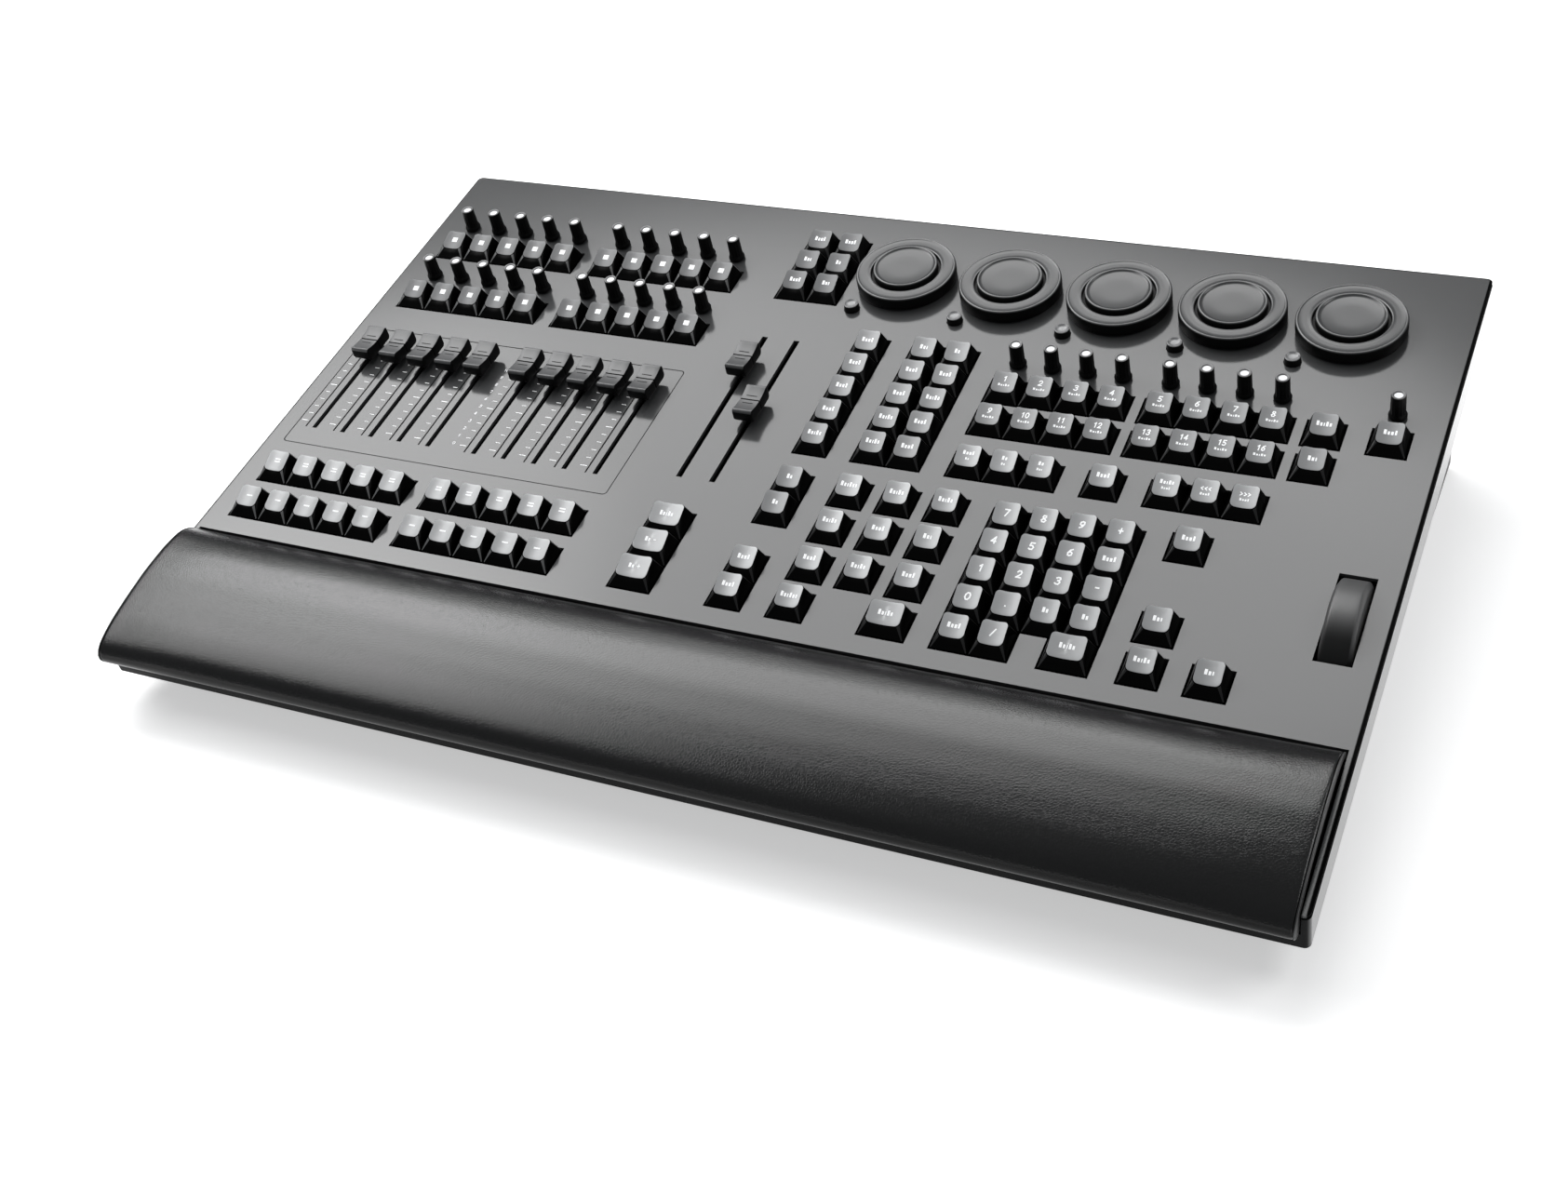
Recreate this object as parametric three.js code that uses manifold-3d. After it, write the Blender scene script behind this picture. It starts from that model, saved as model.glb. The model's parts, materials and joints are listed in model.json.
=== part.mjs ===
// Lighting control desk. Millimetres, +Z up, front towards -Y.
// Every control is laid out in the frame of the sloping top panel: u runs right from the left end,
// v runs back from the rear edge of the palm rest, w stands out of the panel's top face.
import * as THREE from 'three';
import { mergeVertices } from 'three/addons/utils/BufferGeometryUtils.js';
import Module from 'manifold-3d';

const wasm = await Module();
wasm.setup();

// Overall shape
const LEFT = -2.2;
const RIGHT = 618.8;
const TILT = 8 * Math.PI / 180;
const SLAB_DEPTH = 22;
const FRONT_V = -85.4;
const BACK_V = 326.5;
const BACK_BOTTOM_V = 306.5;
const WALL = 1.9;
const GAP = 0.3;
const LIP_TOP = -13;
const CORNER_R = 3;
const FLOOR_TOP = -SLAB_DEPTH + 2;

// Top panel
const PLATE = 2;
const PANEL_FRONT_V = 2;
const PANEL_LEFT = -2;
const PANEL_RIGHT = 618.6;

// Palm rest
const PAD_LEFT = 1.8;
const PAD_RIGHT = 614.4;

// Lower housing and feet, in the level frame
const HOUSING_INSET = 8;
const HOUSING_WALL = 2;
const STANCE = 16;
const FOOT_HEIGHT = 3;

// Keys: one unit is 19.05 mm, the usual key pitch
const PITCH = 19.05;
const CUT = 1.05;
const KEY_BASE = 18.1;
const KEY_TOP_WIDTH = 12.6;
const KEY_FRONT_RISE = 4.8;
const KEY_BACK_RISE = 8.6;
const KEY_TOP_FRONT = 4.6;
const KEY_TOP_BACK = 16.4;
const WEB_TOP = -2.3;
const WEB_BOTTOM = -3.8;

// Small knobs
const KNOB_HEIGHT = 14.5;
const KNOB_R = 3.6;
const KNOB_FLARE_R = 4.4;
const KNOB_CLEARANCE = 0.8;
const SHAFT_R = 2;
const KNOB_HOLE_R = 2.6;
const KNOB_SIDES = 8;

// Dials and their buttons
const DIAL_U = [312.3, 373.6, 435, 496.3, 557.7];
const DIAL_V = 273;
const DIAL_R = 28.2;
const DIAL_RIM_TOP = 8.3;
const DISC_R = 18;
const DISC_TOP = 10.4;
const DIAL_SHAFT_R = 5;
const BUTTON_U = [290.2, 351.3, 412.4, 473.5, 534.6];
const BUTTON_V = 243.2;
const BUTTON_R = 4.2;

// Faders
const SLOT_FRONT = 87.8;
const SLOT_BACK = 168;
const SLOT_WIDTH = 3;
const CAP_WIDTH = 11.7;
const CAP_BOTTOM = 3;
const CAP_LENGTH = 22;
const FADER_V = 154.7;
const MASTER_U = [250.6, 269.9];
const MASTER_V = [183.3, 150];
const MASTER_SLOT_FRONT = 95.6;
const MASTER_SLOT_BACK = 211;
const MASTER_SLOT_WIDTH = 3.4;

// Level wheel
const WHEEL_V = 75;
const WHEEL_W = -20;
const WHEEL_R = 32;
const WHEEL_LEFT = 590.3;
const WHEEL_WIDTH = 15;
const WHEEL_CHAMFER = 2.5;
const WHEEL_RIM = 1.6;
const AXLE_R = 2;

// Key banks: [name, [[u, v, columns, rows, key width in units], ...]]
const EXEC_LEFT = 11.7;
const EXEC_RIGHT = 117.8;
const BANKS = [
  ['keys_exec_upper', [[EXEC_LEFT, 243.7, 5, 1, 1], [EXEC_RIGHT, 243.7, 5, 1, 1],
    [EXEC_LEFT, 195.7, 5, 1, 1], [EXEC_RIGHT, 195.7, 5, 1, 1]]],
  ['keys_exec_lower', [[EXEC_LEFT, 41.6, 5, 1, 1], [EXEC_RIGHT, 41.6, 5, 1, 1],
    [EXEC_LEFT, 13.3, 5, 1, 1], [EXEC_RIGHT, 13.3, 5, 1, 1]]],
  ['keys_transport', [[247.9, 13.7, 1, 3, 1.25]]],
  ['keys_page', [[302.6, 13.3, 1, 2, 1]]],
  ['keys_navigation', [[241.2, 243.7, 2, 3, 1]]],
  ['keys_program', [[302.6, 124.8, 1, 5, 1], [335.3, 124.8, 2, 5, 1], [302.6, 72, 1, 2, 1]]],
  ['keys_objects', [[335.3, 91.8, 1, 1, 1], [361.2, 91.8, 1, 1, 1], [387.2, 91.8, 1, 1, 1],
    [335.3, 65.7, 1, 1, 1], [361.2, 65.7, 1, 1, 1], [387.2, 65.7, 1, 1, 1],
    [335.3, 39.1, 1, 1, 1], [361.2, 39.1, 1, 1, 1], [387.2, 39.1, 1, 1, 1]]],
  ['keys_assignable', [[387.2, 182.1, 4, 1, 1], [469.3, 182.1, 4, 1, 1], [551.5, 182.1, 1, 1, 1],
    [387.2, 156.9, 4, 1, 1], [469.3, 156.9, 4, 1, 1], [551.5, 156.9, 1, 1, 1]]],
  ['keys_cue', [[387.2, 124.8, 3, 1, 1], [457.4, 124.8, 1, 1, 1], [489, 124.8, 3, 1, 1]]],
  ['keys_number', [[419.6, 13.3, 2, 5, 1], [457.7, 32.35, 2, 4, 1], [471.8, 13.3, 1, 1, 1.25]]],
  ['key_menu', [[583, 182.1, 1, 1, 1]]],
  ['key_undo', [[508.8, 91.8, 1, 1, 1]]],
  ['key_escape', [[508.8, 39.1, 1, 1, 1]]],
  ['key_clear', [[508.8, 13.3, 1, 1, 1]]],
  ['key_full', [[539.3, 13.3, 1, 1, 1]]],
  ['key_store', [[383, 13.3, 1, 1, 1.25]]],
  ['key_update', [[335.3, 13.3, 1, 1, 1]]],
];
// Plates under the panel that tie the keys of a bank together: [left, front, right, back]
const WEBS = {
  keys_exec_upper: [[5, 196.6, 213.6, 214.9], [5, 244.6, 213.6, 262.9], [5, 196.6, 9.5, 262.9]],
  keys_exec_lower: [[12, 14.2, 213.6, 60.8]],
  keys_transport: [[248.8, 14.6, 271, 70.6]],
  keys_page: [[303.5, 14.2, 321.8, 51.4]],
  keys_navigation: [[242.1, 244.6, 279.4, 300.8]],
  keys_program: [[303.5, 125.7, 373.5, 219.9], [303.5, 72.9, 321.8, 127]],
  keys_objects: [[336.2, 40, 406.4, 111]],
  keys_assignable: [[388.1, 157.8, 570.7, 201.3]],
  keys_cue: [[388.1, 125.7, 546.3, 144]],
  keys_number: [[420.5, 14.2, 494.9, 108.5]],
};

// Small knobs: the exec knobs stand in two rows, the others are on their own
const EXEC_KNOB_V = [275, 227];
const KNOB_V = 214.4;
const KNOBS = [];
for (let i = 0; i < 4; i += 1) {
  KNOBS.push([`knob_${i + 1}`, 387.2 + CUT / 2 + PITCH * (i + 0.5), KNOB_V]);
}
for (let i = 0; i < 4; i += 1) {
  KNOBS.push([`knob_${i + 5}`, 469.3 + CUT / 2 + PITCH * (i + 0.5), KNOB_V]);
}
KNOBS.push(['knob_menu', 593, 212.2]);

// Colours of the pieces
const LOOKS = {
  panel: [0x4a4b4d, 0.5, 0.2],
  tray: [0x5a5b5d, 0.5, 0.2],
  housing: [0x303133, 0.55, 0.2],
  steel: [0xb8babd, 0.3, 1],
  pad: [0x1c1c1d, 0.55, 0],
  black: [0x0d0d0e, 0.35, 0],
  key: [0x19191a, 0.3, 0],
  dial: [0x3a3b3d, 0.45, 0.1],
  board: [0x16402b, 0.5, 0],
  rubber: [0x111112, 0.9, 0],
};

// ---------------------------------------------------------------- helpers

const solidOf = (geometry) => {
  const bare = geometry.index ? geometry.toNonIndexed() : geometry.clone();
  bare.deleteAttribute('normal');
  bare.deleteAttribute('uv');
  const merged = mergeVertices(bare, 1e-4);
  return new wasm.Manifold(new wasm.Mesh({
    numProp: 3,
    vertProperties: new Float32Array(merged.attributes.position.array),
    triVerts: new Uint32Array(merged.index.array),
  }));
};

const geometryOf = (solid) => {
  const mesh = solid.getMesh();
  const geometry = new THREE.BufferGeometry();
  geometry.setAttribute('position', new THREE.BufferAttribute(new Float32Array(mesh.vertProperties), 3));
  geometry.setIndex(new THREE.BufferAttribute(new Uint32Array(mesh.triVerts), 1));
  geometry.computeVertexNormals();
  return geometry;
};

const join = (solids) => solids.reduce((sum, solid) => sum.add(solid));
const cut = (solid, tools) => tools.reduce((left, tool) => left.subtract(tool), solid);

// A box between two corners in the panel frame
const box = (u0, v0, w0, u1, v1, w1) => {
  const geometry = new THREE.BoxGeometry(u1 - u0, v1 - v0, w1 - w0);
  geometry.translate((u0 + u1) / 2, (v0 + v1) / 2, (w0 + w1) / 2);
  return solidOf(geometry);
};

// A round bar along w
const bar = (u, v, w0, w1, radius, segments = 16) => {
  const geometry = new THREE.CylinderGeometry(radius, radius, w1 - w0, segments);
  geometry.rotateX(Math.PI / 2);
  geometry.translate(u, v, (w0 + w1) / 2);
  return solidOf(geometry);
};

// A round bar along u
const crossBar = (u0, u1, v, w, radius, segments = 16) => {
  const geometry = new THREE.CylinderGeometry(radius, radius, u1 - u0, segments);
  geometry.rotateZ(Math.PI / 2);
  geometry.translate((u0 + u1) / 2, v, w);
  return solidOf(geometry);
};

// A turned shape standing on w = 0, from a profile of [radius, w] points
const turned = (profile, segments) => {
  const geometry = new THREE.LatheGeometry(profile.map(([r, w]) => new THREE.Vector2(r, w)), segments);
  geometry.rotateX(Math.PI / 2);
  return solidOf(geometry);
};

// A side profile of [v, w] points carried along u from one end to the other
const extrudedAlongU = (profile, u0, u1) => {
  const shape = new THREE.Shape(profile.map(([v, w]) => new THREE.Vector2(v, w)));
  const geometry = new THREE.ExtrudeGeometry(shape, { depth: u1 - u0, bevelEnabled: false });
  geometry.applyMatrix4(new THREE.Matrix4().makeBasis(
    new THREE.Vector3(0, 1, 0), new THREE.Vector3(0, 0, 1), new THREE.Vector3(1, 0, 0)));
  geometry.translate(u0, 0, 0);
  return solidOf(geometry);
};

// An upright block with a rounded outline
const roundedBlock = (u0, v0, w0, u1, v1, w1, radius, steps = 4) => {
  const shape = new THREE.Shape();
  shape.moveTo(u0 + radius, v0);
  shape.lineTo(u1 - radius, v0);
  shape.absarc(u1 - radius, v0 + radius, radius, -Math.PI / 2, 0, false);
  shape.lineTo(u1, v1 - radius);
  shape.absarc(u1 - radius, v1 - radius, radius, 0, Math.PI / 2, false);
  shape.lineTo(u0 + radius, v1);
  shape.absarc(u0 + radius, v1 - radius, radius, Math.PI / 2, Math.PI, false);
  shape.lineTo(u0, v0 + radius);
  shape.absarc(u0 + radius, v0 + radius, radius, Math.PI, Math.PI * 1.5, false);
  const geometry = new THREE.ExtrudeGeometry(shape, {
    depth: w1 - w0, bevelEnabled: false, curveSegments: steps,
  });
  geometry.translate(0, 0, w0);
  return solidOf(geometry);
};

// ---------------------------------------------------------------- keys and knobs

// A tapered key whose top slopes up to the back; (u, v) is the middle of its base
const keySolid = (u, v, units) => {
  const geometry = new THREE.BoxGeometry(1, 1, 1, 1, 1, 2);
  const extra = (units - 1) * PITCH;
  const position = geometry.attributes.position;
  for (let i = 0; i < position.count; i += 1) {
    const x = position.getX(i) * 2;
    const back = position.getY(i) > 0;
    const level = Math.round(position.getZ(i) * 2);
    if (level > 0) {
      const rise = back ? KEY_BACK_RISE : KEY_FRONT_RISE;
      const reach = (back ? KEY_TOP_BACK : KEY_TOP_FRONT) - KEY_BASE / 2;
      position.setXYZ(i, x * (KEY_TOP_WIDTH + extra) / 2, reach, rise);
    } else {
      const w = level === 0 ? 0.2 : (WEB_TOP + WEB_BOTTOM) / 2;
      position.setXYZ(i, x * (KEY_BASE + extra) / 2, (back ? 1 : -1) * KEY_BASE / 2, w);
    }
  }
  geometry.translate(u, v, 0);
  return solidOf(geometry);
};

const keyCentres = (blocks) => {
  const centres = [];
  for (const [u, v, columns, rows, units] of blocks) {
    for (let row = 0; row < rows; row += 1) {
      for (let column = 0; column < columns; column += 1) {
        const across = u + CUT / 2 + PITCH * units * (column + 0.5);
        centres.push([across, v + CUT / 2 + PITCH * (row + 0.5), units]);
      }
    }
  }
  return centres;
};

const bankSolid = (name, blocks) => {
  const keys = keyCentres(blocks).map(([u, v, units]) => keySolid(u, v, units));
  const webs = (WEBS[name] ?? []).map(([u0, v0, u1, v1]) => box(u0, v0, WEB_BOTTOM, u1, v1, WEB_TOP));
  if (webs.length === 0) {
    const [[u, v, , , units]] = blocks;
    const reach = 0.2;
    webs.push(box(u - reach, v - reach, WEB_BOTTOM,
      u + PITCH * units + CUT + reach, v + PITCH + CUT + reach, WEB_TOP));
  }
  return join([...webs, ...keys]);
};

// The part of a small knob above the panel, with its shaft down to the given depth
const knobProfile = (bottom) => [
  [0, bottom], [SHAFT_R, bottom], [SHAFT_R, KNOB_CLEARANCE], [KNOB_FLARE_R, KNOB_CLEARANCE],
  [KNOB_R, KNOB_CLEARANCE + 2.8], [KNOB_R, KNOB_HEIGHT], [0, KNOB_HEIGHT],
];

const knobRowSolid = (v) => {
  const bars = [box(18, v - 3, WEB_BOTTOM, 208, v + 3, WEB_TOP)];
  for (const start of [EXEC_LEFT, EXEC_RIGHT]) {
    for (let i = 0; i < 5; i += 1) {
      const knob = turned(knobProfile(WEB_BOTTOM + 0.5), KNOB_SIDES);
      bars.push(knob.translate([start + CUT / 2 + PITCH * (i + 0.5) + 0.6, v, 0]));
    }
  }
  return join(bars);
};

const singleKnobSolid = () => turned([
  [0, -4], [3.4, -4], [3.4, -2.3], ...knobProfile(-2.3).slice(1),
], KNOB_SIDES);

// ---------------------------------------------------------------- enclosure

const traySolid = () => {
  const blank = extrudedAlongU([
    [FRONT_V, -SLAB_DEPTH], [BACK_BOTTOM_V, -SLAB_DEPTH], [BACK_V, 0], [FRONT_V, 0],
  ], LEFT, RIGHT);
  const outer = blank.intersect(
    roundedBlock(LEFT, FRONT_V, -SLAB_DEPTH - 1, RIGHT, BACK_V, 1, CORNER_R));
  const inner = extrudedAlongU([
    [FRONT_V + WALL, FLOOR_TOP], [BACK_BOTTOM_V - 2.8, FLOOR_TOP], [BACK_V - 2.8, 0], [FRONT_V + WALL, 0],
  ], LEFT + WALL, RIGHT - WALL);
  const frontWindow = box(PAD_LEFT - 0.5, FRONT_V - 1, LIP_TOP, PAD_RIGHT + 0.5, FRONT_V + WALL + 1, 1);
  const ledge = box(LEFT - 1, FRONT_V - 1, -PLATE - GAP, RIGHT + 1, BACK_V + 1, 1);
  const wheelWell = box(583, 38, -SLAB_DEPTH - 1, 611, 112, FLOOR_TOP + 1);
  return cut(outer, [inner, frontWindow, ledge, wheelWell]);
};

const panelSolid = () => {
  const plate = box(PANEL_LEFT, PANEL_FRONT_V, -PLATE, PANEL_RIGHT, BACK_V - 0.4, 0);
  const tongues = [
    box(PANEL_LEFT, FRONT_V + 0.6, -PLATE, PAD_LEFT - 0.6, PANEL_FRONT_V + 1, 0),
    box(PAD_RIGHT + 0.6, FRONT_V + 0.6, -PLATE, PANEL_RIGHT, PANEL_FRONT_V + 1, 0),
  ];
  const ears = [
    box(585.2, WHEEL_V - 6, WHEEL_W - 6, 588.2, WHEEL_V + 6, -PLATE + 0.5),
    box(606.1, WHEEL_V - 6, WHEEL_W - 6, 608.2, WHEEL_V + 6, -PLATE + 0.5),
  ];
  const openings = [];
  for (const [, blocks] of BANKS) {
    for (const [u, v, columns, rows, units] of blocks) {
      openings.push(box(u, v, -PLATE - 1, u + PITCH * units * columns + CUT, v + PITCH * rows + CUT, 1));
    }
  }
  const holes = [];
  for (const v of EXEC_KNOB_V) {
    for (const start of [EXEC_LEFT, EXEC_RIGHT]) {
      for (let i = 0; i < 5; i += 1) {
        const across = start + CUT / 2 + PITCH * (i + 0.5) + 0.6;
        holes.push(bar(across, v, -PLATE - 1, 1, KNOB_HOLE_R, KNOB_SIDES));
      }
    }
  }
  for (const [, u, v] of KNOBS) {
    holes.push(bar(u, v, -PLATE - 1, 1, KNOB_HOLE_R, KNOB_SIDES));
  }
  for (const u of DIAL_U) {
    holes.push(bar(u, DIAL_V, -PLATE - 1, 1, DIAL_SHAFT_R + 0.5, 16));
  }
  for (const u of BUTTON_U) {
    holes.push(bar(u, BUTTON_V, -PLATE - 1, 1, BUTTON_R + 0.5, 12));
  }
  for (const u of MASTER_U) {
    const half = MASTER_SLOT_WIDTH / 2;
    holes.push(box(u - half, MASTER_SLOT_FRONT, -PLATE - 1, u + half, MASTER_SLOT_BACK, 1));
  }
  holes.push(roundedBlock(8.5, 74.2, -PLATE - 1, 217.5, 174.9, 1, 2.5, 3));
  holes.push(box(589, 47.5, -PLATE - 1, 606.5, 102.5, 1));
  holes.push(crossBar(580, 615, WHEEL_V, WHEEL_W, AXLE_R + GAP, 16));
  const outline = roundedBlock(
    PANEL_LEFT, FRONT_V + 0.6, WHEEL_W - 10, PANEL_RIGHT, BACK_V - 0.4, 1, CORNER_R);
  return cut(join([plate, ...tongues, ...ears]).intersect(outline), [...openings, ...holes]);
};

const slotCuts = [];
const faderCentres = [];
for (const start of [EXEC_LEFT, EXEC_RIGHT]) {
  for (let i = 0; i < 5; i += 1) {
    faderCentres.push(start + CUT / 2 + PITCH * (i + 0.5));
  }
}
for (const u of faderCentres) {
  slotCuts.push(box(u - SLOT_WIDTH / 2, SLOT_FRONT, -PLATE - 1, u + SLOT_WIDTH / 2, SLOT_BACK, 1));
  slotCuts.push(box(u - 6.1, SLOT_FRONT, -0.6, u - 5.5, SLOT_BACK, 1));
}
const faderPlateSolid = () => {
  const plate = roundedBlock(8.8, 74.5, -PLATE, 217.2, 174.6, -0.05, 2.2, 3);
  return cut(plate, slotCuts);
};

// A fader cap whose top falls to a line across its middle, on a flat stem; (0, 0) is its middle
const capProfile = [
  [-CAP_LENGTH / 2, CAP_BOTTOM], [CAP_LENGTH / 2, CAP_BOTTOM],
  [CAP_LENGTH / 2, 9.6], [CAP_LENGTH / 2 - 1.2, 11.2], [CAP_LENGTH / 2 - 3, 11.2],
  [2.4, 9.8], [0, 9.5], [-2.4, 9.8],
  [-CAP_LENGTH / 2 + 3, 11.2], [-CAP_LENGTH / 2 + 1.2, 11.2], [-CAP_LENGTH / 2, 9.6],
];
const faderSolid = () => join([
  extrudedAlongU(capProfile, -CAP_WIDTH / 2, CAP_WIDTH / 2),
  box(-0.9, -3, -7, 0.9, 3, 5.5),
  box(-3.5, -5, -7, 3.5, 5, -4.6),
]);

const dialSolid = () => turned([
  [0, -4.5], [DIAL_SHAFT_R + 2, -4.5], [DIAL_SHAFT_R + 2, -2.6], [DIAL_SHAFT_R, -2.6], [DIAL_SHAFT_R, 0.6],
  [DIAL_R, 0.6], [DIAL_R, DIAL_RIM_TOP - 0.8], [DIAL_R - 0.8, DIAL_RIM_TOP],
  [DISC_R + 2, DIAL_RIM_TOP], [DISC_R + 1, DIAL_RIM_TOP - 2], [DISC_R, DIAL_RIM_TOP - 2],
  [DISC_R, DISC_TOP], [0, DISC_TOP],
], 24);

const dialButtonsSolid = () => {
  const buttons = BUTTON_U.map((u) => turned([
    [0, WEB_BOTTOM + 0.5], [BUTTON_R, WEB_BOTTOM + 0.5], [BUTTON_R, 3.4], [0, 4],
  ], 12).translate([u, BUTTON_V, 0]));
  return join([box(287, BUTTON_V - 2.6, WEB_BOTTOM, 538, BUTTON_V + 2.6, WEB_TOP), ...buttons]);
};

const wheelSolid = () => {
  const half = WHEEL_WIDTH / 2;
  const wheel = turned([
    [AXLE_R + GAP, -half], [WHEEL_R - WHEEL_CHAMFER, -half], [WHEEL_R, WHEEL_RIM - half],
    [WHEEL_R, half - WHEEL_RIM], [WHEEL_R - WHEEL_CHAMFER, half], [AXLE_R + GAP, half],
    [AXLE_R + GAP, -half],
  ], 40);
  return wheel.rotate([0, 90, 0]).translate([WHEEL_LEFT + half, WHEEL_V, WHEEL_W]);
};

// ---------------------------------------------------------------- palm rest

const restBaseProfile = [
  [-82.6, FLOOR_TOP + GAP], [-1.4, FLOOR_TOP + GAP], [-1.4, -2.6], [-4, 0.6], [-14, 4.4],
  [-42, 5.6], [-66, 3.4], [-80, -0.6], [-82.6, -4],
];
const padProfile = [
  [-85.8, -12.6], [-83.1, -12.6], [-83.1, -3.8], [-80.3, -0.1], [-66.1, 4], [-42, 6.2],
  [-13.9, 5], [-3.6, 1.1], [-0.8, -2.4], [-0.8, -6.5], [1.4, -6.5], [1.5, -0.6], [0.4, 2.2], [-2.9, 5.2],
  [-7.3, 8.9], [-13, 11.1], [-25.6, 12.4], [-42.9, 12.2], [-61, 10.4], [-76, 8.2], [-86, 5.6],
  [-92.5, 2.8], [-95.4, -0.4], [-95.6, -3.8], [-93.4, -7.6], [-89.6, -10.8],
];

// ---------------------------------------------------------------- lower housing, in the level frame

const level = (v, w) => [
  v * Math.cos(TILT) - w * Math.sin(TILT),
  v * Math.sin(TILT) + w * Math.cos(TILT),
];
const UNDER = SLAB_DEPTH + GAP;
const GROUND = level(FRONT_V, -SLAB_DEPTH)[1] - STANCE;
const HOUSING_BOTTOM = GROUND + FOOT_HEIGHT;
const [HOUSING_FRONT] = level(-24, -UNDER);
const [HOUSING_BACK] = level(286, -UNDER);
const undersideAt = (y) => (y * Math.tan(TILT)) - UNDER / Math.cos(TILT);

const housingSolid = () => {
  const outer = extrudedAlongU([
    [HOUSING_FRONT, HOUSING_BOTTOM], [HOUSING_BACK, HOUSING_BOTTOM],
    [HOUSING_BACK, undersideAt(HOUSING_BACK)], [HOUSING_FRONT, undersideAt(HOUSING_FRONT)],
  ], LEFT + HOUSING_INSET, RIGHT - HOUSING_INSET);
  const front = HOUSING_FRONT + HOUSING_WALL;
  const back = HOUSING_BACK - HOUSING_WALL;
  const inner = extrudedAlongU([
    [front, HOUSING_BOTTOM + HOUSING_WALL], [back, HOUSING_BOTTOM + HOUSING_WALL],
    [back, undersideAt(back) + 2], [front, undersideAt(front) + 2],
  ], LEFT + HOUSING_INSET + HOUSING_WALL, RIGHT - HOUSING_INSET - HOUSING_WALL);
  const doorway = box(70, back - 1, HOUSING_BOTTOM + 8, 551.5, HOUSING_BACK + 1, HOUSING_BOTTOM + 42);
  return cut(outer, [inner, doorway]);
};

const REAR_Z0 = HOUSING_BOTTOM + 5;
const REAR_Z1 = HOUSING_BOTTOM + 45;
const rearPanelSolid = () => {
  const plate = box(66, HOUSING_BACK + GAP, REAR_Z0, 555.5, HOUSING_BACK + GAP + 2, REAR_Z1);
  const middle = (REAR_Z0 + REAR_Z1) / 2;
  const through = (u, width, height) => box(u - width / 2, HOUSING_BACK - 1, middle - height / 2,
    u + width / 2, HOUSING_BACK + 4, middle + height / 2);
  return cut(plate, [through(100, 28.6, 21.6)]);
};

// A recessed three-pin power socket in a plastic frame
const inletSolid = () => {
  const middle = (REAR_Z0 + REAR_Z1) / 2;
  const face = HOUSING_BACK + GAP + 2 + GAP;
  const body = join([
    box(86, face - 26, middle - 10.5, 114, face + 0.5, middle + 10.5),
    box(80, face, middle - 13.5, 120, face + 2.5, middle + 13.5),
  ]);
  const pocket = box(88.5, face - 20, middle - 8, 111.5, face + 4, middle + 8);
  const pins = [[-6, -1.5], [0, 2.5], [6, -1.5]].map(([side, up]) => box(
    99 + side, face - 21, middle + up - 2, 101 + side, face - 4, middle + up + 2));
  return join([body.subtract(pocket), ...pins]);
};

const footSolid = (y) => join([
  box(LEFT + 40, y - 7, GROUND, RIGHT - 40, y + 7, HOUSING_BOTTOM - GAP),
]);

// ---------------------------------------------------------------- assembly

const desk = new THREE.Group();
const panelFrame = new THREE.Group();
panelFrame.rotation.x = TILT;
desk.add(panelFrame);

const place = (parent, name, solid, look, at = [0, 0, 0]) => {
  const [color, roughness, metalness] = LOOKS[look];
  const material = new THREE.MeshStandardMaterial({ color, roughness, metalness });
  const mesh = new THREE.Mesh(geometryOf(solid), material);
  mesh.name = name;
  mesh.position.set(at[0], at[1], at[2]);
  parent.add(mesh);
};

place(panelFrame, 'tray', traySolid(), 'tray');
place(panelFrame, 'top_panel', panelSolid(), 'panel');
place(panelFrame, 'fader_plate', faderPlateSolid(), 'panel');
place(panelFrame, 'palm_rest_base', extrudedAlongU(restBaseProfile, PAD_LEFT + 1, PAD_RIGHT - 1), 'black');
place(panelFrame, 'palm_rest_pad', extrudedAlongU(padProfile, PAD_LEFT, PAD_RIGHT), 'pad');
place(panelFrame, 'control_board', box(8, 8, -11, 574, 306, -9.4), 'board');
place(panelFrame, 'wheel_axle', crossBar(584.8, 608.5, WHEEL_V, WHEEL_W, AXLE_R, 12), 'steel');
place(panelFrame, 'level_wheel', wheelSolid(), 'black');

for (const [name, blocks] of BANKS) {
  place(panelFrame, name, bankSolid(name, blocks), 'key');
}
place(panelFrame, 'exec_knobs_back', knobRowSolid(EXEC_KNOB_V[0]), 'black');
place(panelFrame, 'exec_knobs_front', knobRowSolid(EXEC_KNOB_V[1]), 'black');
for (const [name, u, v] of KNOBS) {
  place(panelFrame, name, singleKnobSolid(), 'black', [u, v, 0]);
}
DIAL_U.forEach((u, i) => place(panelFrame, `dial_${i + 1}`, dialSolid(), 'dial', [u, DIAL_V, 0]));
place(panelFrame, 'dial_buttons', dialButtonsSolid(), 'black');
faderCentres.forEach((u, i) => {
  place(panelFrame, `fader_${i + 1}`, faderSolid(), 'black', [u, FADER_V, -0.05]);
});
MASTER_U.forEach((u, i) => {
  place(panelFrame, `master_${i + 1}`, faderSolid(), 'black', [u, MASTER_V[i], 0]);
});

place(desk, 'base_housing', housingSolid(), 'housing');
place(desk, 'rear_panel', rearPanelSolid(), 'housing');
place(desk, 'power_inlet', inletSolid(), 'black');
place(desk, 'power_supply', box(120, HOUSING_BACK - 130, HOUSING_BOTTOM + 2 + GAP,
  260, HOUSING_BACK - 40, HOUSING_BOTTOM + 32), 'steel');
place(desk, 'feet_front', footSolid(HOUSING_FRONT + 14), 'rubber');
place(desk, 'feet_rear', footSolid(HOUSING_BACK - 14), 'rubber');

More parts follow.
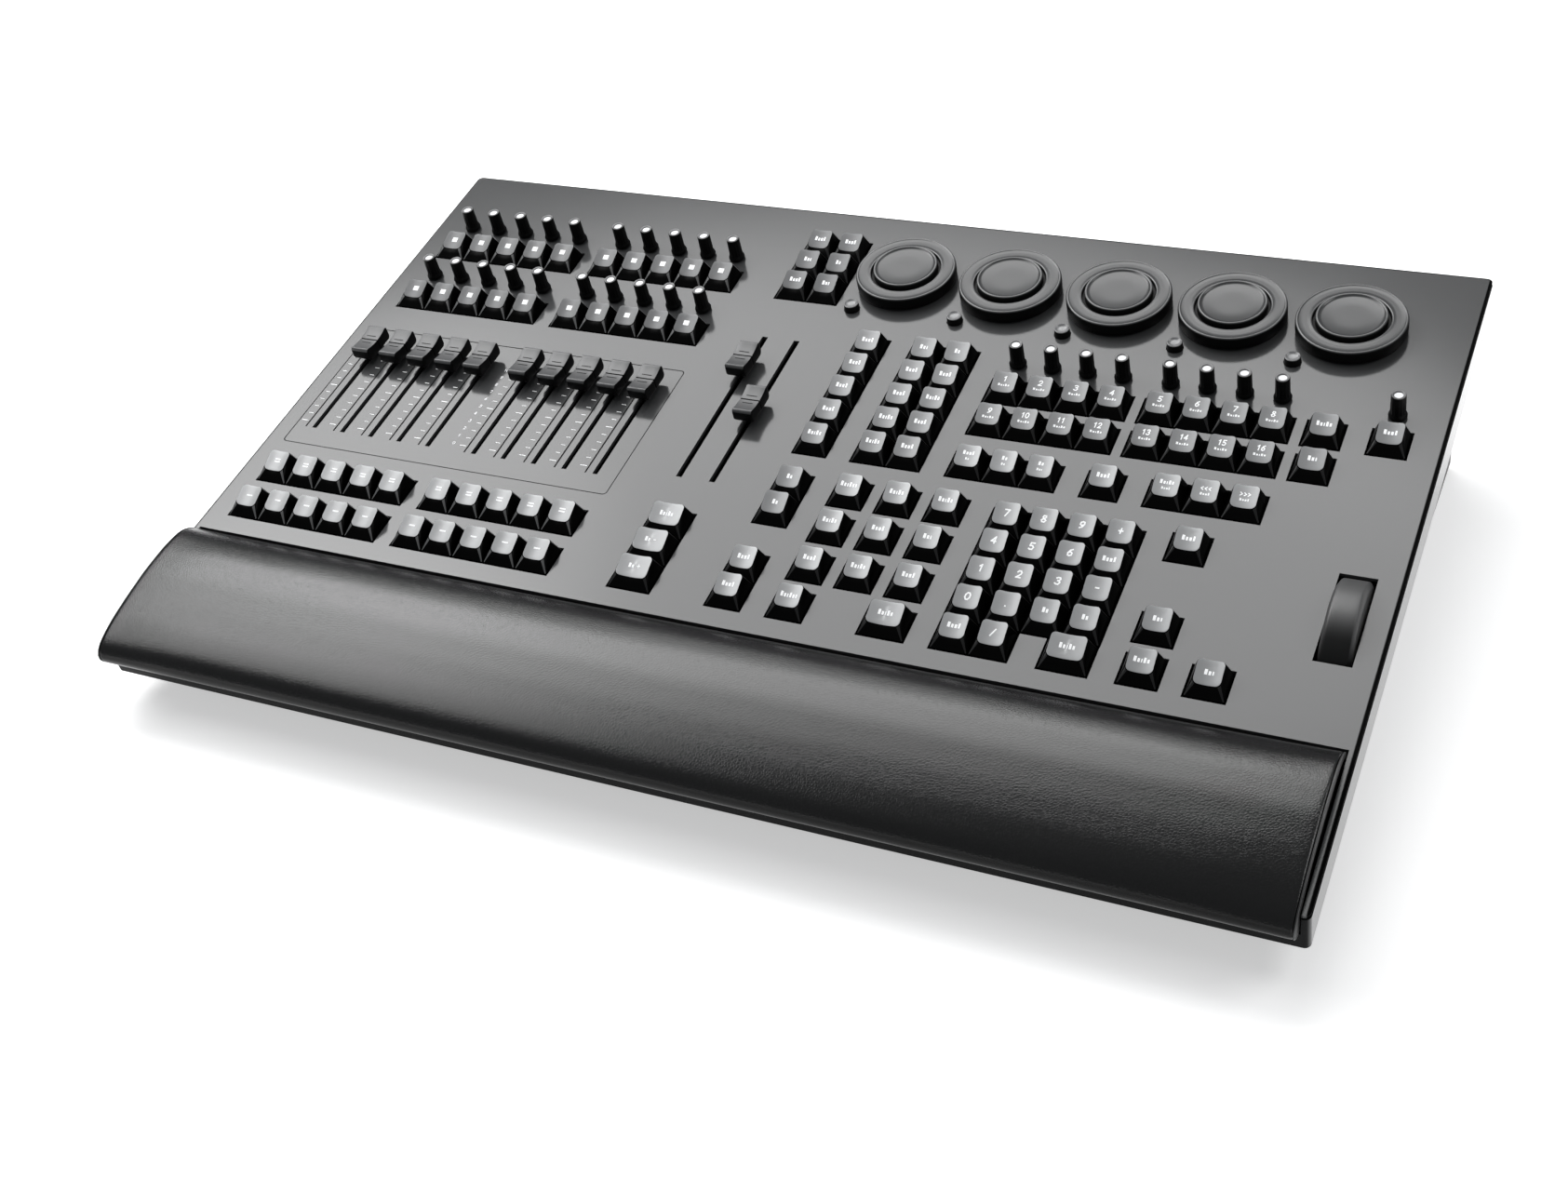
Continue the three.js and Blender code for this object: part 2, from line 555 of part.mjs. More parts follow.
// The origin is the middle of the footprint, on the ground
desk.updateMatrixWorld(true);
const bounds = new THREE.Box3().setFromObject(desk, true);
desk.position.set(-(bounds.min.x + bounds.max.x) / 2, -(bounds.min.y + bounds.max.y) / 2, -bounds.min.z);
desk.updateMatrixWorld(true);

export default desk;
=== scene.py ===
"""Looks of the lighting control desk: every piece is built in the frame of its sloping top panel.

In that frame u runs right from the left end, v runs back from the rear edge of the palm rest and w stands
out of the panel's top face, all in millimetres. PANEL turns it into the row frame in metres.
"""
import json
import math

import bmesh
import bpy
from mathutils import Matrix, Vector


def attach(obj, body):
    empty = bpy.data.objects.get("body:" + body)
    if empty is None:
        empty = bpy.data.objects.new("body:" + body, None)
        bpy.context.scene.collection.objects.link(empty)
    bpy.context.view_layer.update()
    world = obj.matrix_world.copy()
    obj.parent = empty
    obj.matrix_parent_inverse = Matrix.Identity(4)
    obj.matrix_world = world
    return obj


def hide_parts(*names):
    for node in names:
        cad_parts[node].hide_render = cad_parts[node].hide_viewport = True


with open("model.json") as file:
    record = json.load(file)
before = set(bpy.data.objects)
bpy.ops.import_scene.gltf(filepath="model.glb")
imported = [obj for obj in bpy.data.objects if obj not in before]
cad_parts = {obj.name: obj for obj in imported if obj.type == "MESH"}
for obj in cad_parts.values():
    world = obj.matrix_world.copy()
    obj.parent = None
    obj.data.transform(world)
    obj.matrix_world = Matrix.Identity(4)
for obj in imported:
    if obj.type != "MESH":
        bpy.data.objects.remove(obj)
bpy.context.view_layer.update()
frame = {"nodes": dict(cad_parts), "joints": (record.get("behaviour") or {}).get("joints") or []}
NODES = frame["nodes"]
JOINTS = {joint["name"]: joint for joint in frame["joints"]}

# ------------------------------------------------------------------ layout, as the CAD has it
PITCH = 19.05
CUT = 1.05
KEY_BASE = 18.1
DIAL_U = (312.3, 373.6, 435.0, 496.3, 557.7)
DIAL_V = 273.0
BUTTON_U = (290.2, 351.3, 412.4, 473.5, 534.6)
BUTTON_V = 243.2
EXEC_STARTS = (11.7, 117.8)
EXEC_KNOB_V = {"exec_knobs_back": 275.0, "exec_knobs_front": 227.0}
KNOB_V = 214.4
FADER_V = 154.7
MASTERS = ((250.6, 183.3), (269.9, 150.0))
WHEEL = (597.8, 75.0, -20.0)
WHEEL_R = 32.0
WHEEL_HALF = 7.5
KNOB_SHIFT = 0.6
WEB_TOP, WEB_BOTTOM = -2.3, -3.8
KEYS_IN_ROW = 5
EXEC_U = [start + CUT / 2 + PITCH * (i + 0.5) for start in EXEC_STARTS for i in range(KEYS_IN_ROW)]

AXIS_U = Vector((1, 0, 0))
AXIS_W = Vector(JOINTS["dial_1_turn"]["axis"]).normalized()
AXIS_V = AXIS_W.cross(AXIS_U).normalized()
CORNER = Vector(JOINTS["dial_1_turn"]["pos_m"]) - (AXIS_U * DIAL_U[0] + AXIS_V * DIAL_V) * 0.001
PANEL = Matrix((
    (AXIS_U.x, AXIS_V.x, AXIS_W.x, CORNER.x),
    (AXIS_U.y, AXIS_V.y, AXIS_W.y, CORNER.y),
    (AXIS_U.z, AXIS_V.z, AXIS_W.z, CORNER.z),
    (0, 0, 0, 1),
)) @ Matrix.Diagonal((0.001, 0.001, 0.001, 1))


def at(u, v, w):
    return PANEL @ Vector((u, v, w))


# ------------------------------------------------------------------ camera, floor and lights
CAMERA_LENS = 45.72
CAMERA_SPOT = (717.19, -540.67, 680.12)
CAMERA_RIGHT = Vector((0.90485, 0.38660, -0.17828))
CAMERA_DOWN = Vector((0.16735, -0.70805, -0.68604))
FLOOR_SIDE = 9.0
FLOOR_GLOW = 0.48
WORLD_GLOW = 0.22
SOFTBOXES = {
    "overhead_softbox": ((-540, 1400, 1500), (2480, 1720), 42),
    "front_left_softbox": ((-1300, 760, 1505), (1500, 1000), 8.5),
    "front_softbox": ((-1150, 100, 1510), (1400, 900), 12),
    "right_fill": ((1900, 900, 1500), (1200, 1200), 14),
    "right_softbox": ((480, 2050, 1530), (1100, 800), 1.6),
    "back_softbox": ((-650, 1500, 1510), (2500, 1120), 9.5),
    "left_softbox": ((-1500, 1100, 1520), (1400, 1400), 7),
}


def add_camera():
    data = bpy.data.cameras.new("camera")
    data.sensor_width = 36
    data.lens = CAMERA_LENS
    data.clip_start = 0.05
    data.clip_end = 40
    camera = bpy.data.objects.new("camera", data)
    bpy.context.scene.collection.objects.link(camera)
    turn = Matrix((AXIS_U, AXIS_V, AXIS_W)).transposed()
    x_axis = (turn @ CAMERA_RIGHT).normalized()
    y_axis = -(turn @ CAMERA_DOWN).normalized()
    z_axis = x_axis.cross(y_axis)
    spot = at(*CAMERA_SPOT)
    camera.matrix_world = Matrix((
        (x_axis.x, y_axis.x, z_axis.x, spot.x),
        (x_axis.y, y_axis.y, z_axis.y, spot.y),
        (x_axis.z, y_axis.z, z_axis.z, spot.z),
        (0, 0, 0, 1),
    ))
    bpy.context.scene.camera = camera


def add_softbox(name, spot, sizes, power):
    """An oval light at a place in the panel's frame, flat over the panel."""
    data = bpy.data.lights.new(name, "AREA")
    data.shape = "ELLIPSE"
    data.size, data.size_y = sizes[0] * 0.001, sizes[1] * 0.001
    data.energy = power
    light = bpy.data.objects.new(name, data)
    bpy.context.scene.collection.objects.link(light)
    turn = Matrix((AXIS_U, AXIS_V, AXIS_W)).transposed().to_4x4()
    light.matrix_world = Matrix.Translation(at(*spot)) @ turn


def add_stage():
    mesh = bpy.data.meshes.new("floor")
    corners = [(-1, -1), (1, -1), (1, 1), (-1, 1)]
    mesh.from_pydata([(FLOOR_SIDE * x, FLOOR_SIDE * y, 0) for x, y in corners], [], [(0, 1, 2, 3)])
    floor = bpy.data.objects.new("floor", mesh)
    bpy.context.scene.collection.objects.link(floor)
    white = plain_material("floor_white", (0.88, 0.88, 0.88), 0.9, specular=0.05)
    glow(white, FLOOR_GLOW)
    floor.data.materials.append(white)
    world = bpy.data.worlds.new("studio")
    bpy.context.scene.world = world
    world.use_nodes = True
    world.node_tree.nodes["Background"].inputs["Color"].default_value = (0.94, 0.97, 1.0, 1)
    world.node_tree.nodes["Background"].inputs["Strength"].default_value = WORLD_GLOW
    for name, (spot, sizes, power) in SOFTBOXES.items():
        add_softbox(name, spot, sizes, power)
    bpy.context.scene.view_settings.view_transform = "Standard"


# ------------------------------------------------------------------ materials
GRAIN_DEPTH = 0.00005
GRAIN_SHARE = 0.35
BLOTCH_SCALE = 9.0
WORN_EDGE = (0.52, 0.62)


def plain_material(name, colour, roughness, metallic=0.0, specular=0.5):
    material = bpy.data.materials.new(name)
    material.use_nodes = True
    shader = material.node_tree.nodes["Principled BSDF"]
    shader.inputs["Base Color"].default_value = (*colour, 1)
    shader.inputs["Roughness"].default_value = roughness
    shader.inputs["Metallic"].default_value = metallic
    shader.inputs["Specular IOR Level"].default_value = specular
    return material


def glow(material, strength):
    shader = material.node_tree.nodes["Principled BSDF"]
    shader.inputs["Emission Color"].default_value = (1, 1, 1, 1)
    shader.inputs["Emission Strength"].default_value = strength


def node(tree, kind, **values):
    made = tree.nodes.new(kind)
    for key, value in values.items():
        if key in made.inputs:
            made.inputs[key].default_value = value
        else:
            setattr(made, key, value)
    return made


def surface(name, colour, roughness, metallic=0.0, specular=0.5, grain=1400.0, bump=0.12,
            shade=0.12, rough_swing=0.06, wear=0.0):
    """A moulded or painted surface: fine grain in the bump, soft blotches in colour and roughness."""
    material = plain_material(name, colour, roughness, metallic, specular)
    tree = material.node_tree
    link = tree.links.new
    shader = tree.nodes["Principled BSDF"]
    place = node(tree, "ShaderNodeTexCoord")
    large = node(tree, "ShaderNodeTexNoise", Scale=BLOTCH_SCALE, Detail=4.0, Roughness=0.55)
    fine = node(tree, "ShaderNodeTexNoise", Scale=grain, Detail=3.0, Roughness=0.6)
    link(place.outputs["Object"], large.inputs["Vector"])
    link(place.outputs["Object"], fine.inputs["Vector"])
    blend = node(tree, "ShaderNodeMix", data_type="RGBA")
    blend.inputs[6].default_value = (*[c * (1 - shade) for c in colour], 1)
    blend.inputs[7].default_value = (*[min(1, c * (1 + shade)) for c in colour], 1)
    mixed = node(tree, "ShaderNodeMath", operation="ADD")
    scaled = node(tree, "ShaderNodeMath", operation="MULTIPLY")
    scaled.inputs[1].default_value = GRAIN_SHARE
    link(fine.outputs["Fac"], scaled.inputs[0])
    link(large.outputs["Fac"], mixed.inputs[0])
    link(scaled.outputs[0], mixed.inputs[1])
    spread = node(tree, "ShaderNodeMapRange", **{"From Min": 0.45, "From Max": 0.9})
    link(mixed.outputs[0], spread.inputs["Value"])
    link(spread.outputs[0], blend.inputs[0])
    colour_out = blend.outputs[2]
    if wear > 0:
        edges = node(tree, "ShaderNodeNewGeometry")
        rim = node(tree, "ShaderNodeMapRange", **{"From Min": WORN_EDGE[0], "From Max": WORN_EDGE[1]})
        link(edges.outputs["Pointiness"], rim.inputs["Value"])
        worn = node(tree, "ShaderNodeMix", data_type="RGBA")
        worn.inputs[7].default_value = (*[min(1, c * (1 + wear) + 0.02) for c in colour], 1)
        link(rim.outputs[0], worn.inputs[0])
        link(colour_out, worn.inputs[6])
        colour_out = worn.outputs[2]
    link(colour_out, shader.inputs["Base Color"])
    low, high = max(0.02, roughness - rough_swing), min(1, roughness + rough_swing)
    rough = node(tree, "ShaderNodeMapRange", **{"To Min": low, "To Max": high})
    link(large.outputs["Fac"], rough.inputs["Value"])
    link(rough.outputs[0], shader.inputs["Roughness"])
    relief = node(tree, "ShaderNodeBump", Strength=bump, Distance=GRAIN_DEPTH)
    link(fine.outputs["Fac"], relief.inputs["Height"])
    link(relief.outputs["Normal"], shader.inputs["Normal"])
    return material


def along(tree, kind, output, direction, low, high):
    """A mask that climbs from 0 to 1 as a node's output along a direction goes from low to high."""
    source = node(tree, kind)
    dot = node(tree, "ShaderNodeVectorMath", operation="DOT_PRODUCT")
    dot.inputs[1].default_value = direction
    tree.links.new(source.outputs[output], dot.inputs[0])
    limits = {"From Min": low, "From Max": high}
    ramp = node(tree, "ShaderNodeMapRange", interpolation_type="SMOOTHSTEP", **limits)
    tree.links.new(dot.outputs["Value"], ramp.inputs["Value"])
    return ramp.outputs[0]


def facing(tree, direction, low, high):
    """0 where the surface turns away from a direction, 1 where it faces it."""
    return along(tree, "ShaderNodeNewGeometry", "Normal", direction, low, high)


def beyond(tree, direction, begin, end):
    """0 before one distance along a panel direction, 1 past the other, in millimetres."""
    low, high = [direction.dot(CORNER) + reach * 0.001 for reach in (begin, end)]
    return along(tree, "ShaderNodeTexCoord", "Object", direction, low, high)


def either(tree, masks):
    """The strongest of several masks."""
    strongest = masks[0]
    for mask in masks[1:]:
        largest = node(tree, "ShaderNodeMath", operation="MAXIMUM")
        tree.links.new(strongest, largest.inputs[0])
        tree.links.new(mask, largest.inputs[1])
        strongest = largest.outputs[0]
    return strongest


def blend_towards(material, mask, changes):
    """Blend a material's inputs towards other values where a mask is 1."""
    tree = material.node_tree
    shader = tree.nodes["Principled BSDF"]
    for name, value in changes.items():
        socket = shader.inputs[name]
        coloured = name == "Base Color"
        mix = node(tree, "ShaderNodeMix", data_type="RGBA" if coloured else "FLOAT")
        if coloured:
            first, second, out = mix.inputs[6], mix.inputs[7], mix.outputs[2]
        else:
            first, second, out = mix.inputs[2], mix.inputs[3], mix.outputs[0]
        if socket.is_linked:
            tree.links.new(socket.links[0].from_socket, first)
        else:
            first.default_value = socket.default_value
        second.default_value = (*value, 1) if coloured else value
        tree.links.new(mask, mix.inputs[0])
        tree.links.new(out, socket)


def leather(name):
    """Black leather: a pebbled grain of small cells with soft creases between them."""
    material = plain_material(name, (0.01, 0.01, 0.0105), 0.4, specular=0.52)
    tree = material.node_tree
    link = tree.links.new
    shader = tree.nodes["Principled BSDF"]
    place = node(tree, "ShaderNodeTexCoord")
    warp = node(tree, "ShaderNodeTexNoise", Scale=240.0, Detail=2.0)
    link(place.outputs["Object"], warp.inputs["Vector"])
    push = node(tree, "ShaderNodeVectorMath", operation="SCALE")
    push.inputs["Scale"].default_value = 0.0012
    link(warp.outputs["Color"], push.inputs[0])
    bent = node(tree, "ShaderNodeVectorMath", operation="ADD")
    link(place.outputs["Object"], bent.inputs[0])
    link(push.outputs[0], bent.inputs[1])
    cells = node(tree, "ShaderNodeTexVoronoi", feature="DISTANCE_TO_EDGE", Scale=760.0)
    link(bent.outputs[0], cells.inputs["Vector"])
    crease = node(tree, "ShaderNodeMapRange", interpolation_type="SMOOTHSTEP", **{"From Max": 0.28})
    link(cells.outputs["Distance"], crease.inputs["Value"])
    pores = node(tree, "ShaderNodeTexNoise", Scale=1900.0, Detail=2.0)
    link(place.outputs["Object"], pores.inputs["Vector"])
    height = node(tree, "ShaderNodeMath", operation="MULTIPLY_ADD")
    height.inputs[1].default_value = 0.25
    link(pores.outputs["Fac"], height.inputs[0])
    link(crease.outputs[0], height.inputs[2])
    soft = node(tree, "ShaderNodeTexNoise", Scale=7.0, Detail=3.0)
    link(place.outputs["Object"], soft.inputs["Vector"])
    tone = node(tree, "ShaderNodeMix", data_type="RGBA")
    tone.inputs[6].default_value = (0.002, 0.002, 0.002, 1)
    tone.inputs[7].default_value = (0.007, 0.007, 0.0072, 1)
    shade = node(tree, "ShaderNodeMath", operation="MULTIPLY")
    link(crease.outputs[0], shade.inputs[0])
    link(soft.outputs["Fac"], shade.inputs[1])
    link(shade.outputs[0], tone.inputs[0])
    link(tone.outputs[2], shader.inputs["Base Color"])
    rough = node(tree, "ShaderNodeMapRange", **{"To Min": 0.25, "To Max": 0.18})
    link(shade.outputs[0], rough.inputs["Value"])
    link(rough.outputs[0], shader.inputs["Roughness"])
    relief = node(tree, "ShaderNodeBump", Strength=0.3, Distance=0.0001)
    link(height.outputs[0], relief.inputs["Height"])
    link(relief.outputs["Normal"], shader.inputs["Normal"])
    return material


PANEL_PAINT = surface("panel_paint", (0.052, 0.053, 0.054), 0.15, specular=0.4, grain=1500, bump=0.04,
                      shade=0.05, rough_swing=0.02)
TRAY_PAINT = surface("tray_paint", (0.01, 0.0102, 0.0104), 0.12, specular=0.26, grain=1500, bump=0.015,
                     shade=0.05, rough_swing=0.02)
HOUSING_PAINT = surface("housing_paint", (0.02, 0.02, 0.021), 0.5, grain=1100, bump=0.2, wear=0.8)
KEY_SIDE = surface("key_side", (0.0012, 0.0012, 0.0012), 0.25, specular=0.06, grain=900, bump=0.05)
# Painted highlights for the strips at the keys' vertical corners: a light line on the exec keys, a faint
# one on the others.
KEY_EDGE_HIGHLIGHT = surface("key_edge", (0.1, 0.101, 0.102), 0.3, grain=1500, bump=0.05)
KEY_EDGE_FAINT_HIGHLIGHT = surface("key_edge_dark", (0.012, 0.012, 0.0122), 0.3, specular=0.3, grain=1500, bump=0.05)
KEY_SKIN = {"grain": 2200, "bump": 0.1, "shade": 0.08}
# Key tops in three copies of one grey: the full grey is partly the keys' own colour and partly a painted
# sheen of the overhead light; the half-shade and shade copies are painted shade for banks that catch less
# of it.
KEY_TOP = surface("key_top", (0.33, 0.334, 0.338), 0.42, metallic=0.45, **KEY_SKIN)
KEY_TOP_PAINTED_HALF_SHADE = surface("key_top_painted_half_shade", (0.24, 0.243, 0.246), 0.42, metallic=0.35, specular=0.4, **KEY_SKIN)
KEY_TOP_PAINTED_SHADE = surface("key_top_painted_shade", (0.11, 0.112, 0.114), 0.36, metallic=0.2, specular=0.4, **KEY_SKIN)
PRINT = surface("white_print", (0.82, 0.83, 0.84), 0.5, grain=3000, bump=0.05, shade=0.03)
CAP = surface("fader_cap", (0.006, 0.006, 0.0063), 0.32, specular=0.15, grain=1300, bump=0.1)
CAP_TOP = surface("fader_cap_top", (0.07, 0.071, 0.073), 0.36, grain=1900, bump=0.15)
KNOB = surface("knob_body", (0.005, 0.005, 0.005), 0.38, specular=0.15, grain=1700, bump=0.15)
KNOB_TOP = surface("knob_top", (0.8, 0.81, 0.82), 0.3, grain=2500, bump=0.05, shade=0.04)
KNOB_RIM = surface("knob_rim", (0.09, 0.091, 0.093), 0.3, grain=2500, bump=0.05)
DIAL = surface("dial_body", (0.048, 0.049, 0.05), 0.22, specular=0.4, grain=1800, bump=0.1, shade=0.06)
# Painted highlight: a lighter grey on the beads round the dial's rim, its inner edge and the disc's rim.
DIAL_BEAD_HIGHLIGHT = surface("dial_edge", (0.1, 0.101, 0.102), 0.3, specular=0.6, grain=1800, bump=0.05)
# Painted shade: near-black on the dial's outer side and underside and on the walls and floor of the groove
# round the disc.
DIAL_SHADED_SIDE = surface("dial_shaded_side", (0.004, 0.004, 0.004), 0.4, specular=0.12, grain=1500)
# Painted highlight: the buttons' crowns are a lighter grey than their dark bodies, standing for the glossy
# sheen on top.
BUTTON_TOP_HIGHLIGHT = surface("button_top_highlight", (0.19, 0.192, 0.195), 0.3, metallic=0.1, specular=0.6, grain=2200,
                     bump=0.05)
WHEEL_SKIN = surface("wheel_skin", (0.05, 0.0502, 0.0505), 0.5, specular=1.0, grain=1700, bump=0.1)
# Near-black: painted shade laid in the fader plate's seam, along each slit and in the cap's middle groove;
# it also colours the dark tick marks on the caps.
GROOVE = surface("groove", (0.003, 0.003, 0.003), 0.6, specular=0.05, grain=1500)
STEEL = surface("axle_steel", (0.55, 0.55, 0.56), 0.3, metallic=1.0, grain=700, bump=0.1)
BOARD = surface("board_laminate", (0.004, 0.006, 0.005), 0.5, specular=0.2, grain=500, bump=0.1)
CASE = surface("supply_case", (0.6, 0.6, 0.61), 0.4, metallic=1.0, grain=900)
RUBBER = surface("foot_rubber", (0.012, 0.012, 0.012), 0.8, specular=0.2, grain=1500, bump=0.4)
SOCKET = surface("inlet_plastic", (0.01, 0.01, 0.01), 0.35, grain=1500, bump=0.1, wear=1.0)
CORE = surface("rest_core", (0.012, 0.012, 0.012), 0.6, grain=900)
REST_EDGE = surface("rest_edge", (0.02, 0.02, 0.0203), 0.35, grain=1500, bump=0.05)
LEATHER = leather("pad_leather")
# Painted light: the white print glows a little, so the legends read brighter than the lamps alone make
# them.
PAINTED_PRINT_GLOW = 0.25
# Bands along the panel's outer edges, in millimetres along a panel direction, that get painted shade:
# near-black and dull where the rounded edge falls into shadow.
PAINTED_SHADE_RIMS = ((AXIS_U, 616.6, 617.3), (-AXIS_U, 1.0, 1.7), (AXIS_V, 325.0, 325.8))


def finish_materials():
    """Painted light set by where a face lies or which way it points: painted shade keeps the panel's outer
    edges dark, a painted sheen makes the tray's side walls glossy, painted shade makes the tray's and the
    pad's fronts shine less and darkens the wheel's front, and the print gets a painted glow.
    """
    tree = PANEL_PAINT.node_tree
    # Painted shade: the panel's outer edge bands turn near-black and dull.
    rim = either(tree, [beyond(tree, *reach) for reach in PAINTED_SHADE_RIMS])
    blend_towards(PANEL_PAINT, rim, {
        "Base Color": (0.002, 0.002, 0.002), "Specular IOR Level": 0.02, "Roughness": 0.7})
    tree = TRAY_PAINT.node_tree
    # Painted sheen: the tray's side walls get a clear coat that its other faces lack, so they read bright.
    walls = either(tree, [facing(tree, AXIS_U, 0.6, 0.9), facing(tree, -AXIS_U, 0.6, 0.9)])
    blend_towards(TRAY_PAINT, walls, {"Coat Weight": 0.4})
    # Painted shade: the tray's front faces shine less, so the lip reads dark.
    blend_towards(TRAY_PAINT, facing(tree, -AXIS_V, 0.6, 0.9), {"Specular IOR Level": 0.04})
    tree = WHEEL_SKIN.node_tree
    # Painted shade: the wheel's faces turned to the front go near-black and shine less.
    blend_towards(WHEEL_SKIN, facing(tree, -AXIS_V, 0.1, 0.6), {
        "Base Color": (0.006, 0.006, 0.006), "Specular IOR Level": 0.3})
    tree = LEATHER.node_tree
    # Painted shade: the pad's front faces shine less, so its front roll reads dark.
    blend_towards(LEATHER, facing(tree, -AXIS_V, 0.72, 0.97), {"Specular IOR Level": 0.12})
    glow(PRINT, PAINTED_PRINT_GLOW)


finish_materials()


# ------------------------------------------------------------------ mesh building
class Shape:
    """Points, faces and each face's material number, collected in the panel frame."""

    def __init__(self):
        self.points = []
        self.faces = []
        self.marks = []

    def add(self, points, faces, mark=0):
        start = len(self.points)
        self.points.extend(points)
        for face in faces:
            self.faces.append([start + i for i in face])
            self.marks.append(mark)

    def loft(self, rings, marks=0, low=True, high=True):
        """Rings of equal length joined by quads, with a fan over the first and last ring."""
        start = len(self.points)
        count = len(rings[0])
        for ring in rings:
            self.points.extend(ring)
        for level in range(len(rings) - 1):
            mark = marks[level] if isinstance(marks, (list, tuple)) else marks
            for i in range(count):
                a = start + level * count + i
                b = start + level * count + (i + 1) % count
                self.faces.append([a, b, b + count, a + count])
                self.marks.append(mark)
        ends = []
        if low:
            ends.append((0, True))
        if high:
            ends.append((len(rings) - 1, False))
        for level, flip in ends:
            ring = rings[level]
            middle = [sum(p[k] for p in ring) / count for k in range(3)]
            self.points.append(tuple(middle))
            tip = len(self.points) - 1
            edge = marks[-1 if level else 0] if isinstance(marks, (list, tuple)) else marks
            for i in range(count):
                a = start + level * count + i
                b = start + level * count + (i + 1) % count
                self.faces.append([b, a, tip] if flip else [a, b, tip])
                self.marks.append(edge)

    def turned(self, profile, count, at_point=(0, 0, 0), marks=0, ripple=None):
        """A closed turned form from (radius, height) points; ripple varies the radius with the angle."""
        u0, v0, w0 = at_point
        rings = []
        for level, (radius, height) in enumerate(profile):
            ring = []
            for i in range(count):
                angle = 2 * math.pi * i / count
                r = radius * (ripple(level, angle) if ripple else 1)
                ring.append((u0 + r * math.cos(angle), v0 + r * math.sin(angle), w0 + height))
            rings.append(ring)
        self.loft(rings, marks)

    def merge(self, other, shift=(0, 0, 0)):
        start = len(self.points)
        self.points.extend((p[0] + shift[0], p[1] + shift[1], p[2] + shift[2]) for p in other.points)
        self.faces.extend([start + i for i in face] for face in other.faces)
        self.marks.extend(other.marks)


BEVEL_ANGLE = 40


def make(name, shape, materials, body, replaces=(), sharp=40):
    """A piece from a shape: its mesh goes to the row frame, and it rides on its body."""
    mesh = bpy.data.meshes.new(name)
    mesh.from_pydata([tuple(PANEL @ Vector(p)) for p in shape.points], [], shape.faces)
    for material in materials:
        mesh.materials.append(material)
    mesh.polygons.foreach_set("material_index", shape.marks)
    mesh.polygons.foreach_set("use_smooth", [True] * len(mesh.polygons))
    mesh.update()
    mesh.set_sharp_from_angle(angle=math.radians(sharp))
    piece = bpy.data.objects.new(name, mesh)
    bpy.context.scene.collection.objects.link(piece)
    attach(piece, body)
    if replaces:
        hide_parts(*replaces)
    return piece


def add_bevel(piece, width):
    modifier = piece.modifiers.new("edges", "BEVEL")
    modifier.width = width * 0.001
    modifier.segments = 2
    modifier.limit_method = "ANGLE"
    modifier.angle_limit = math.radians(BEVEL_ANGLE)
    modifier.harden_normals = False


def rounded_outline(u0, v0, u1, v1, radius, corner=4, straight=4):
    """Points round a rounded rectangle, counter-clockwise, with points along its straight sides too."""
    points = []
    corners = (
        (u1 - radius, v0 + radius, -90), (u1 - radius, v1 - radius, 0),
        (u0 + radius, v1 - radius, 90), (u0 + radius, v0 + radius, 180),
    )
    for index, (cu, cv, begin) in enumerate(corners):
        arc = []
        for i in range(corner + 1):
            angle = math.radians(begin + 90 * i / corner)
            arc.append((cu + radius * math.cos(angle), cv + radius * math.sin(angle)))
        points.extend(arc)
        nu, nv, nbegin = corners[(index + 1) % 4]
        angle = math.radians(nbegin)
        goal = (nu + radius * math.cos(angle), nv + radius * math.sin(angle))
        last_u, last_v = arc[-1]
        for i in range(1, straight):
            t = i / straight
            points.append((last_u + (goal[0] - last_u) * t, last_v + (goal[1] - last_v) * t))
    return points


# ------------------------------------------------------------------ keys
KEY_TOP_WIDTH = 12.6
TOP_FRONT, TOP_BACK = 4.6 - KEY_BASE / 2, 16.4 - KEY_BASE / 2
TOP_MIDDLE = (TOP_FRONT + TOP_BACK) / 2
RISE_FRONT, RISE_BACK = 4.8, 8.6
DISH = 0.85
BASE_CORNER_R, TOP_CORNER_R = 0.8, 2.2
CORNER_POINTS, SIDE_POINTS = 5, 3
CORNER_STRIP = (1, 2)
PRINT_LIFT = 0.04
FLANK, FACE, PRINTED, HIGHLIGHT_RIDGE = range(4)
FLANK_RINGS = (0.5, 0.94)
FACE_RINGS = ((1.0, 0.14), (0.985, 0.03), (0.95, 0.0), (0.7, 0.0), (0.42, 0.0), (0.16, 0.0))


def key_height(x, y, half):
    slope = RISE_FRONT + (RISE_BACK - RISE_FRONT) * (y - TOP_FRONT) / (TOP_BACK - TOP_FRONT)
    return slope - DISH * (1 - (x / half) ** 2)


